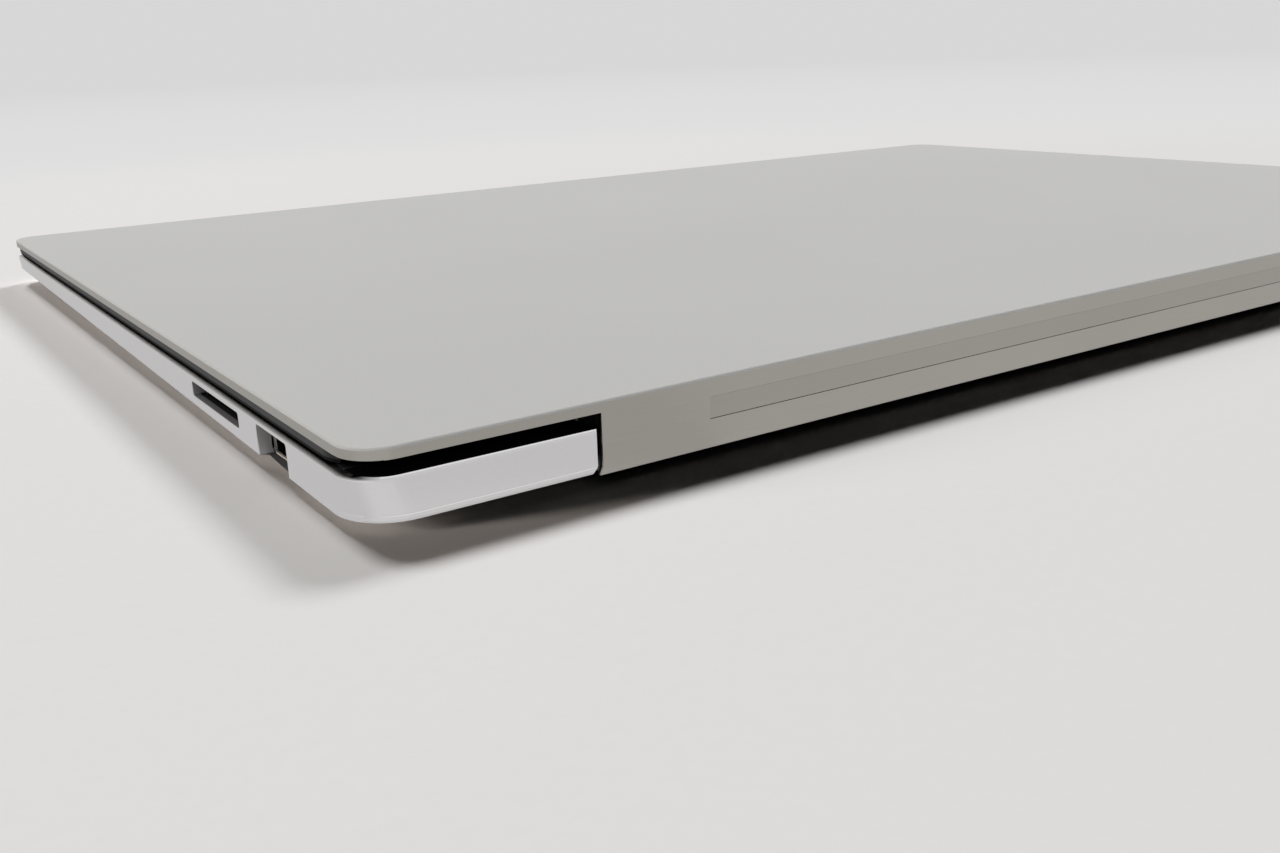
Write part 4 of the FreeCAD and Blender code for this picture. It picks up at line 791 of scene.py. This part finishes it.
# How many contacts lie side by side on a socket's tongue, and whether both its faces have them
CONTACTS = {"usb_a_socket": (4, False), "hdmi_socket": (10, True), "usb_c_sockets": (12, True)}
CONTACT_H = 0.1 * MM
CONTACT_BEVEL = 0.2  # as a share of its height
CONTACT_LONG = 0.35  # length of a contact as a share of its socket's depth
CONTACT_BACK = 0.52  # from the tongue's end back to a contact's middle, as a share of its length
CONTACT_FILL = 0.6  # the most of the pitch that a contact takes up
TIP_FROM, TIP_TO = 0.2, 0.8  # where a tongue's free end lies, as shares of the socket's depth
LENS_RING_R, LENS_R = 2.0 * MM, 1.4 * MM
LAMP_R, LAMP_AWAY = 0.45 * MM, 6.0 * MM
MICROPHONE_R, MICROPHONE_AWAY = 0.5 * MM, 14.0 * MM
ROUND_SIDES, SMALL_SIDES = 40, 16
PINHOLE = 0.02  # middle of a disc that stays open, as a share of its radius


def screw_head(radius, high, sides):
    """Flat head seen from below, with a bevelled rim and a six-sided drive recess."""
    bm = bmesh.new()
    rings = []
    for across, up in SCREW_OUTLINE:
        ring = []
        for i in range(sides):
            a = 2 * math.pi * i / sides
            r = radius * across
            # The recess has six flat sides; the rim is round
            if across <= RECESS:
                r *= math.cos(math.pi / 6) / math.cos((a % (math.pi / 3)) - math.pi / 6)
            ring.append(bm.verts.new((r * math.cos(a), r * math.sin(a), up * high)))
        rings.append(ring)
    bridge(bm, rings)
    bm.faces.new(rings[-1])
    bm.faces.new(rings[0])
    bmesh.ops.recalc_face_normals(bm, faces=bm.faces)
    return mesh_of(bm, "screw_head")


def islands(node):
    """The corners of each separate solid of a CAD piece."""
    bm = bmesh.new()
    bm.from_mesh(frame["nodes"][node].data)
    bmesh.ops.remove_doubles(bm, verts=bm.verts, dist=MERGE)
    groups = []
    seen = set()
    for vert in bm.verts:
        if vert in seen:
            continue
        group = []
        stack = [vert]
        seen.add(vert)
        while stack:
            one = stack.pop()
            group.append(one.co.copy())
            for edge in one.link_edges:
                other = edge.other_vert(one)
                if other not in seen:
                    seen.add(other)
                    stack.append(other)
        groups.append(group)
    bm.free()
    return groups


def limits(points):
    """The lowest and the highest corner of a set of points."""
    return (Vector([min(p[i] for p in points) for i in range(3)]),
            Vector([max(p[i] for p in points) for i in range(3)]))


class LAPTOP_OT_screws(bpy.types.Operator):
    """Sets the screws of the bottom cover"""
    bl_idname = "laptop.screws"
    bl_label = "Bottom screws"

    def execute(self, context):
        metal = finishes(context.scene.laptop_colours)["screw_steel"]
        spots = [limits(group) for group in islands("bottom_screws")]
        radius = min(high.x - low.x for low, high in spots) / 2
        places = [((low.x + high.x) / 2, (low.y + high.y) / 2, low.z) for low, high in spots]
        head = screw_head(radius, SCREW_HEAD_H, context.scene.laptop_sizes.screw_sides)
        mesh = copies_at("screws", places, head, metal)
        piece = piece_from("drive_screws", mesh, metal, "base")
        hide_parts("bottom_screws")
        return {"FINISHED"}


def contact_bar(wide, long, high):
    """One spring contact, flat on its tongue, with bevelled edges."""
    bm = bmesh.new()
    bmesh.ops.create_cube(bm, size=1.0)
    bmesh.ops.scale(bm, vec=(long, wide, high), verts=bm.verts)
    bmesh.ops.bevel(bm, geom=list(bm.edges), offset=CONTACT_BEVEL * high, segments=1, affect="EDGES")
    return mesh_of(bm, "contact_bar")


class LAPTOP_OT_contacts(bpy.types.Operator):
    """Lays the gold contacts on the tongues of the sockets"""
    bl_idname = "laptop.contacts"
    bl_label = "Socket contacts"

    def execute(self, context):
        sizes = context.scene.laptop_sizes
        gold = finishes(context.scene.laptop_colours)["contact_gold"]
        meshes = []
        for node, (count, both_faces) in CONTACTS.items():
            for group in islands(node):
                low, high = limits(group)
                deep = high.x - low.x
                # Only the tongue's free end has corners half-way down the shell
                tip = [p for p in group if TIP_FROM * deep < p.x - low.x < TIP_TO * deep]
                if not tip:
                    raise RuntimeError("no tongue in " + node)
                near, far = limits(tip)
                pitch = (far.y - near.y) / count
                long = CONTACT_LONG * deep
                x = near.x - math.copysign(CONTACT_BACK * long, near.x)
                places = [(x, near.y + (i + 0.5) * pitch, z) for i in range(count)
                          for z in ((near.z, far.z) if both_faces else (near.z,))]
                bar = contact_bar(min(sizes.contact, CONTACT_FILL * pitch), long, CONTACT_H)
                meshes.append(copies_at("contacts", places, bar, gold))
        piece_from("port_contacts", joined(meshes, "port_contacts"), gold, "base")
        return {"FINISHED"}


def washer(radius, hole, at, high, sides):
    """A flat ring, or where the hole is nothing a disc, with a pinhole too fine to see."""
    inner = max(hole, PINHOLE * radius)
    turn = [2 * math.pi * i / sides for i in range(sides)]
    bm = bmesh.new()
    rings = [[bm.verts.new((r * math.cos(a), r * math.sin(a), z)) for a in turn]
             for r, z in ((radius, -high), (radius, high), (inner, high), (inner, -high))]
    bridge(bm, rings + rings[:1])
    bmesh.ops.recalc_face_normals(bm, faces=bm.faces)
    mesh = mesh_of(bm, "washer")
    mesh.transform(Matrix.Translation(at))
    return mesh


class LAPTOP_OT_camera(bpy.types.Operator):
    """Rings the camera's lens and sets the lamp and the two microphone holes beside it"""
    bl_idname = "laptop.camera"
    bl_label = "Camera surround"

    def execute(self, context):
        gloss = finishes(context.scene.laptop_colours)["lens_glass"]
        low, high = span("webcam_module")
        at = (low + high) / 2
        at.z = span("display_bezel")[0].z
        ink = context.scene.laptop_sizes.ink
        meshes = [washer(LENS_RING_R, LENS_R, at, ink, ROUND_SIDES)]
        for r, away in ((LAMP_R, LAMP_AWAY), (MICROPHONE_R, -MICROPHONE_AWAY),
                        (MICROPHONE_R, MICROPHONE_AWAY)):
            meshes.append(washer(r, 0, at + Vector((away, 0, 0)), ink, SMALL_SIDES))
        piece_from("camera_surround", joined(meshes, "camera_surround"), gloss, "lid")
        return {"FINISHED"}


class LAPTOP_OT_finishes(bpy.types.Operator):
    """Gives every CAD piece the finish of its material slot"""
    bl_idname = "laptop.finishes"
    bl_label = "Finishes"

    def execute(self, context):
        known = finishes(context.scene.laptop_colours)
        for part in frame["record"]["subparts"]:
            node = frame["nodes"][part["node"]]
            material = known[part["material_slot"]]
            for slot in node.material_slots:
                slot.material = material
            if not node.material_slots:
                node.data.materials.append(material)
        return {"FINISHED"}


# Stage

BACKDROP = "DCDCDC"
FLOOR_REACH = 30.0
FADE_FROM, FADE_TO = 0.26, 0.6  # metres over which the lit floor goes over into the backdrop
SWEEP_FROM, SWEEP_TO = 0.4, 2.5  # metres over which the backdrop grows darker
SWEEP_NEAR, SWEEP_FAR = 1.04, 0.95  # and its strengths there
# Width and strength of the painted half shadow that the metal sees beside the card slot side
HALF_SHADOW_W, HALF_SHADOW = 60 * MM, 0.86
SKY = 0.004  # what the room adds to the light on matt surfaces
ROOM_FROM, ROOM_TO = 0.45, 0.9  # upward share of a look, over which the room grows lighter
ROOM_AROUND, ROOM_ABOVE = 0.95, 1.6  # and its strengths there
# Each lamp's place in metres, width, watts and tint
LAMPS = {
    "front_softbox": ((0.0, -7.94, 9.0), 2.8, 735.0, (1.0, 1.0, 1.0)),
    "left_softbox": ((-7.24, -6.34, 7.18), 2.8, 695.0, (1.0, 1.0, 1.0)),
    "low_softbox": ((3.80, -0.95, 0.83), 0.8, 80.0, (1.0, 0.90, 0.80)),
}
# The camera's place in metres and its turn in degrees, fitted to the lid's edges and the openings
CAMERA_AT = (0.22666, 0.25738, 0.05777)
CAMERA_TURN = (72.754, 1.912, 145.488)
CAMERA_SENSOR, CAMERA_LENS = 36.0, 34.94  # in millimetres, as Blender takes them
CAMERA_NEAR = 5 * MM


def looked_at(tree):
    """1 for a ray from the camera, or one that metal or glass sends on, and 0 for light on a matt surface."""
    path = add(tree, "ShaderNodeLightPath")
    bent = add(tree, "ShaderNodeMath", {
        0: path.outputs["Is Glossy Ray"], 1: path.outputs["Is Transmission Ray"]}, operation="MAXIMUM")
    # Light that has met a matt surface on its way is left out, so shadows stay deep
    clean = add(tree, "ShaderNodeMath", {0: path.outputs["Diffuse Depth"], 1: 0.5}, operation="LESS_THAN")
    sent_on = add(tree, "ShaderNodeMath", {0: bent.outputs[0], 1: clean.outputs[0]}, operation="MULTIPLY")
    either = add(tree, "ShaderNodeMath", {
        0: path.outputs["Is Camera Ray"], 1: sent_on.outputs[0]}, operation="MAXIMUM")
    return either.outputs[0], sent_on.outputs[0]


def paper(colour):
    """Matt paper sweep: the camera sees the shadow on it near the laptop and the backdrop further off."""
    material = finish("Paper, matt", colour, (0.8, 0.9), 2.0, specular=0.0, tone=0.01, patch=400.0)
    tree = material.node_tree
    out = next(n for n in tree.nodes if n.type == "OUTPUT_MATERIAL")
    lit = out.inputs["Surface"].links[0].from_socket
    place = add(tree, "ShaderNodeTexCoord").outputs["Object"]
    far = add(tree, "ShaderNodeVectorMath", {0: place}, operation="LENGTH")
    fade = add(tree, "ShaderNodeMapRange", {
        "Value": far.outputs["Value"], "From Min": FADE_FROM, "From Max": FADE_TO},
        interpolation_type="SMOOTHSTEP")
    seen, sent_on = looked_at(tree)
    faded = add(tree, "ShaderNodeMath", {0: fade.outputs[0], 1: seen}, operation="MULTIPLY")
    share = add(tree, "ShaderNodeMath", {0: faded.outputs[0], 1: sent_on}, operation="MAXIMUM")
    # Painted half shadow: the metal on the side with the card slot sees the paper beside it a little darker,
    # for the half shadow there
    corner = span("top_case")[1]
    beside = within(tree, place, (corner.x, None, None), (corner.x + HALF_SHADOW_W, corner.y, None))
    mirrored = add(tree, "ShaderNodeMath", {0: beside, 1: sent_on}, operation="MULTIPLY")
    half = add(tree, "ShaderNodeMapRange", {
        "Value": mirrored.outputs[0], "To Min": 1.0, "To Max": HALF_SHADOW})
    sweep = add(tree, "ShaderNodeMapRange", {
        "Value": far.outputs["Value"], "From Min": SWEEP_FROM, "From Max": SWEEP_TO,
        "To Min": SWEEP_NEAR, "To Max": SWEEP_FAR})
    level = add(tree, "ShaderNodeMath", {0: half.outputs[0], 1: sweep.outputs[0]}, operation="MULTIPLY")
    wall = add(tree, "ShaderNodeEmission", {"Color": rgba(linear(BACKDROP)), "Strength": level.outputs[0]})
    mix = add(tree, "ShaderNodeMixShader", {0: share.outputs[0], 1: lit, 2: wall.outputs[0]})
    tree.links.new(mix.outputs[0], out.inputs["Surface"])
    return material


def lay_floor(scene):
    """The floor, far wider than the camera sees."""
    floor = bpy.data.meshes.new("floor")
    turns = ((-1, -1), (1, -1), (1, 1), (-1, 1))
    floor.from_pydata([(x * FLOOR_REACH, y * FLOOR_REACH, 0) for x, y in turns], [], [(0, 1, 2, 3)])
    ground = bpy.data.objects.new("floor", floor)
    scene.collection.objects.link(ground)
    floor.materials.append(paper(tuple(scene.laptop_colours.floor)))
    return ground


def softbox(scene, name, at, size, watts, tint):
    """A round lamp that looks at the laptop."""
    lamp = bpy.data.lights.new(name, "AREA")
    lamp.shape = "DISK"
    lamp.size = size
    lamp.energy = watts
    lamp.color = tint
    obj = bpy.data.objects.new(name, lamp)
    obj.location = at
    obj.rotation_euler = (-Vector(at)).to_track_quat("-Z", "Y").to_euler()
    # Metal mirrors the pale room, not the lamps, so broad faces stay even
    obj.visible_glossy = False
    scene.collection.objects.link(obj)
    return obj


def pale_room(scene):
    """The room that the camera and the metal see, which hardly lights matt surfaces."""
    world = scene.world or bpy.data.worlds.new("Studio")
    scene.world = world
    world.use_nodes = True
    tree = world.node_tree
    tree.nodes.clear()
    seen = looked_at(tree)[0]
    sky = add(tree, "ShaderNodeBackground", {"Color": (1, 1, 1, 1), "Strength": SKY})
    # The room is lighter overhead, which lights the upper edges of the metal
    towards = add(tree, "ShaderNodeSeparateXYZ", {0: add(tree, "ShaderNodeTexCoord").outputs["Generated"]})
    height = add(tree, "ShaderNodeMapRange", {
        "Value": towards.outputs["Z"], "From Min": ROOM_FROM, "From Max": ROOM_TO,
        "To Min": ROOM_AROUND, "To Max": ROOM_ABOVE})
    wall = add(tree, "ShaderNodeBackground", {
        "Color": rgba(linear(BACKDROP)), "Strength": height.outputs[0]})
    mix = add(tree, "ShaderNodeMixShader", {0: seen, 1: sky.outputs[0], 2: wall.outputs[0]})
    out = add(tree, "ShaderNodeOutputWorld")
    tree.links.new(mix.outputs[0], out.inputs["Surface"])


def fitted_camera(scene):
    """The camera, as it stands to the laptop's rear right corner."""
    eye = bpy.data.cameras.new("camera")
    eye.sensor_width = CAMERA_SENSOR
    eye.lens = CAMERA_LENS
    eye.clip_start = CAMERA_NEAR
    camera = bpy.data.objects.new("camera", eye)
    camera.location = CAMERA_AT
    camera.rotation_euler = [math.radians(a) for a in CAMERA_TURN]
    scene.collection.objects.link(camera)
    scene.camera = camera
    return camera


class LAPTOP_OT_stage(bpy.types.Operator):
    """Lays the floor and sets the lamps, the sky and the camera"""
    bl_idname = "laptop.stage"
    bl_label = "Stage"

    def execute(self, context):
        scene = context.scene
        ground = lay_floor(scene)
        lamps = [softbox(scene, name, *settings) for name, settings in LAMPS.items()]
        pale_room(scene)
        camera = fitted_camera(scene)
        scene.view_settings.view_transform = "Standard"
        return {"FINISHED"}


class LAPTOP_PT_panel(bpy.types.Panel):
    bl_idname = "LAPTOP_PT_panel"
    bl_label = "Laptop"
    bl_space_type = "VIEW_3D"
    bl_region_type = "UI"
    bl_category = "Laptop"

    def draw(self, context):
        for group in (context.scene.laptop_sizes, context.scene.laptop_colours):
            column = self.layout.column()
            for name in group.__annotations__:
                column.prop(group, name)
        for operator in OPERATORS:
            self.layout.operator(operator.bl_idname)


OPERATORS = (LAPTOP_OT_finishes, LAPTOP_OT_grille, LAPTOP_OT_screws, LAPTOP_OT_contacts, LAPTOP_OT_camera,
             LAPTOP_OT_legends, LAPTOP_OT_stage)
CLASSES = (LaptopSizes, LaptopColours, *OPERATORS, LAPTOP_PT_panel)


def register():
    for cls in CLASSES:
        bpy.utils.register_class(cls)
    bpy.types.Scene.laptop_sizes = PointerProperty(type=LaptopSizes)
    bpy.types.Scene.laptop_colours = PointerProperty(type=LaptopColours)


def unregister():
    del bpy.types.Scene.laptop_colours
    del bpy.types.Scene.laptop_sizes
    for cls in reversed(CLASSES):
        bpy.utils.unregister_class(cls)


def main():
    register()
    bpy.ops.laptop.finishes()
    bpy.ops.laptop.grille()
    bpy.ops.laptop.screws()
    bpy.ops.laptop.contacts()
    bpy.ops.laptop.camera()
    bpy.ops.laptop.legends()
    bpy.ops.laptop.stage()


if __name__ == "__main__":
    main()
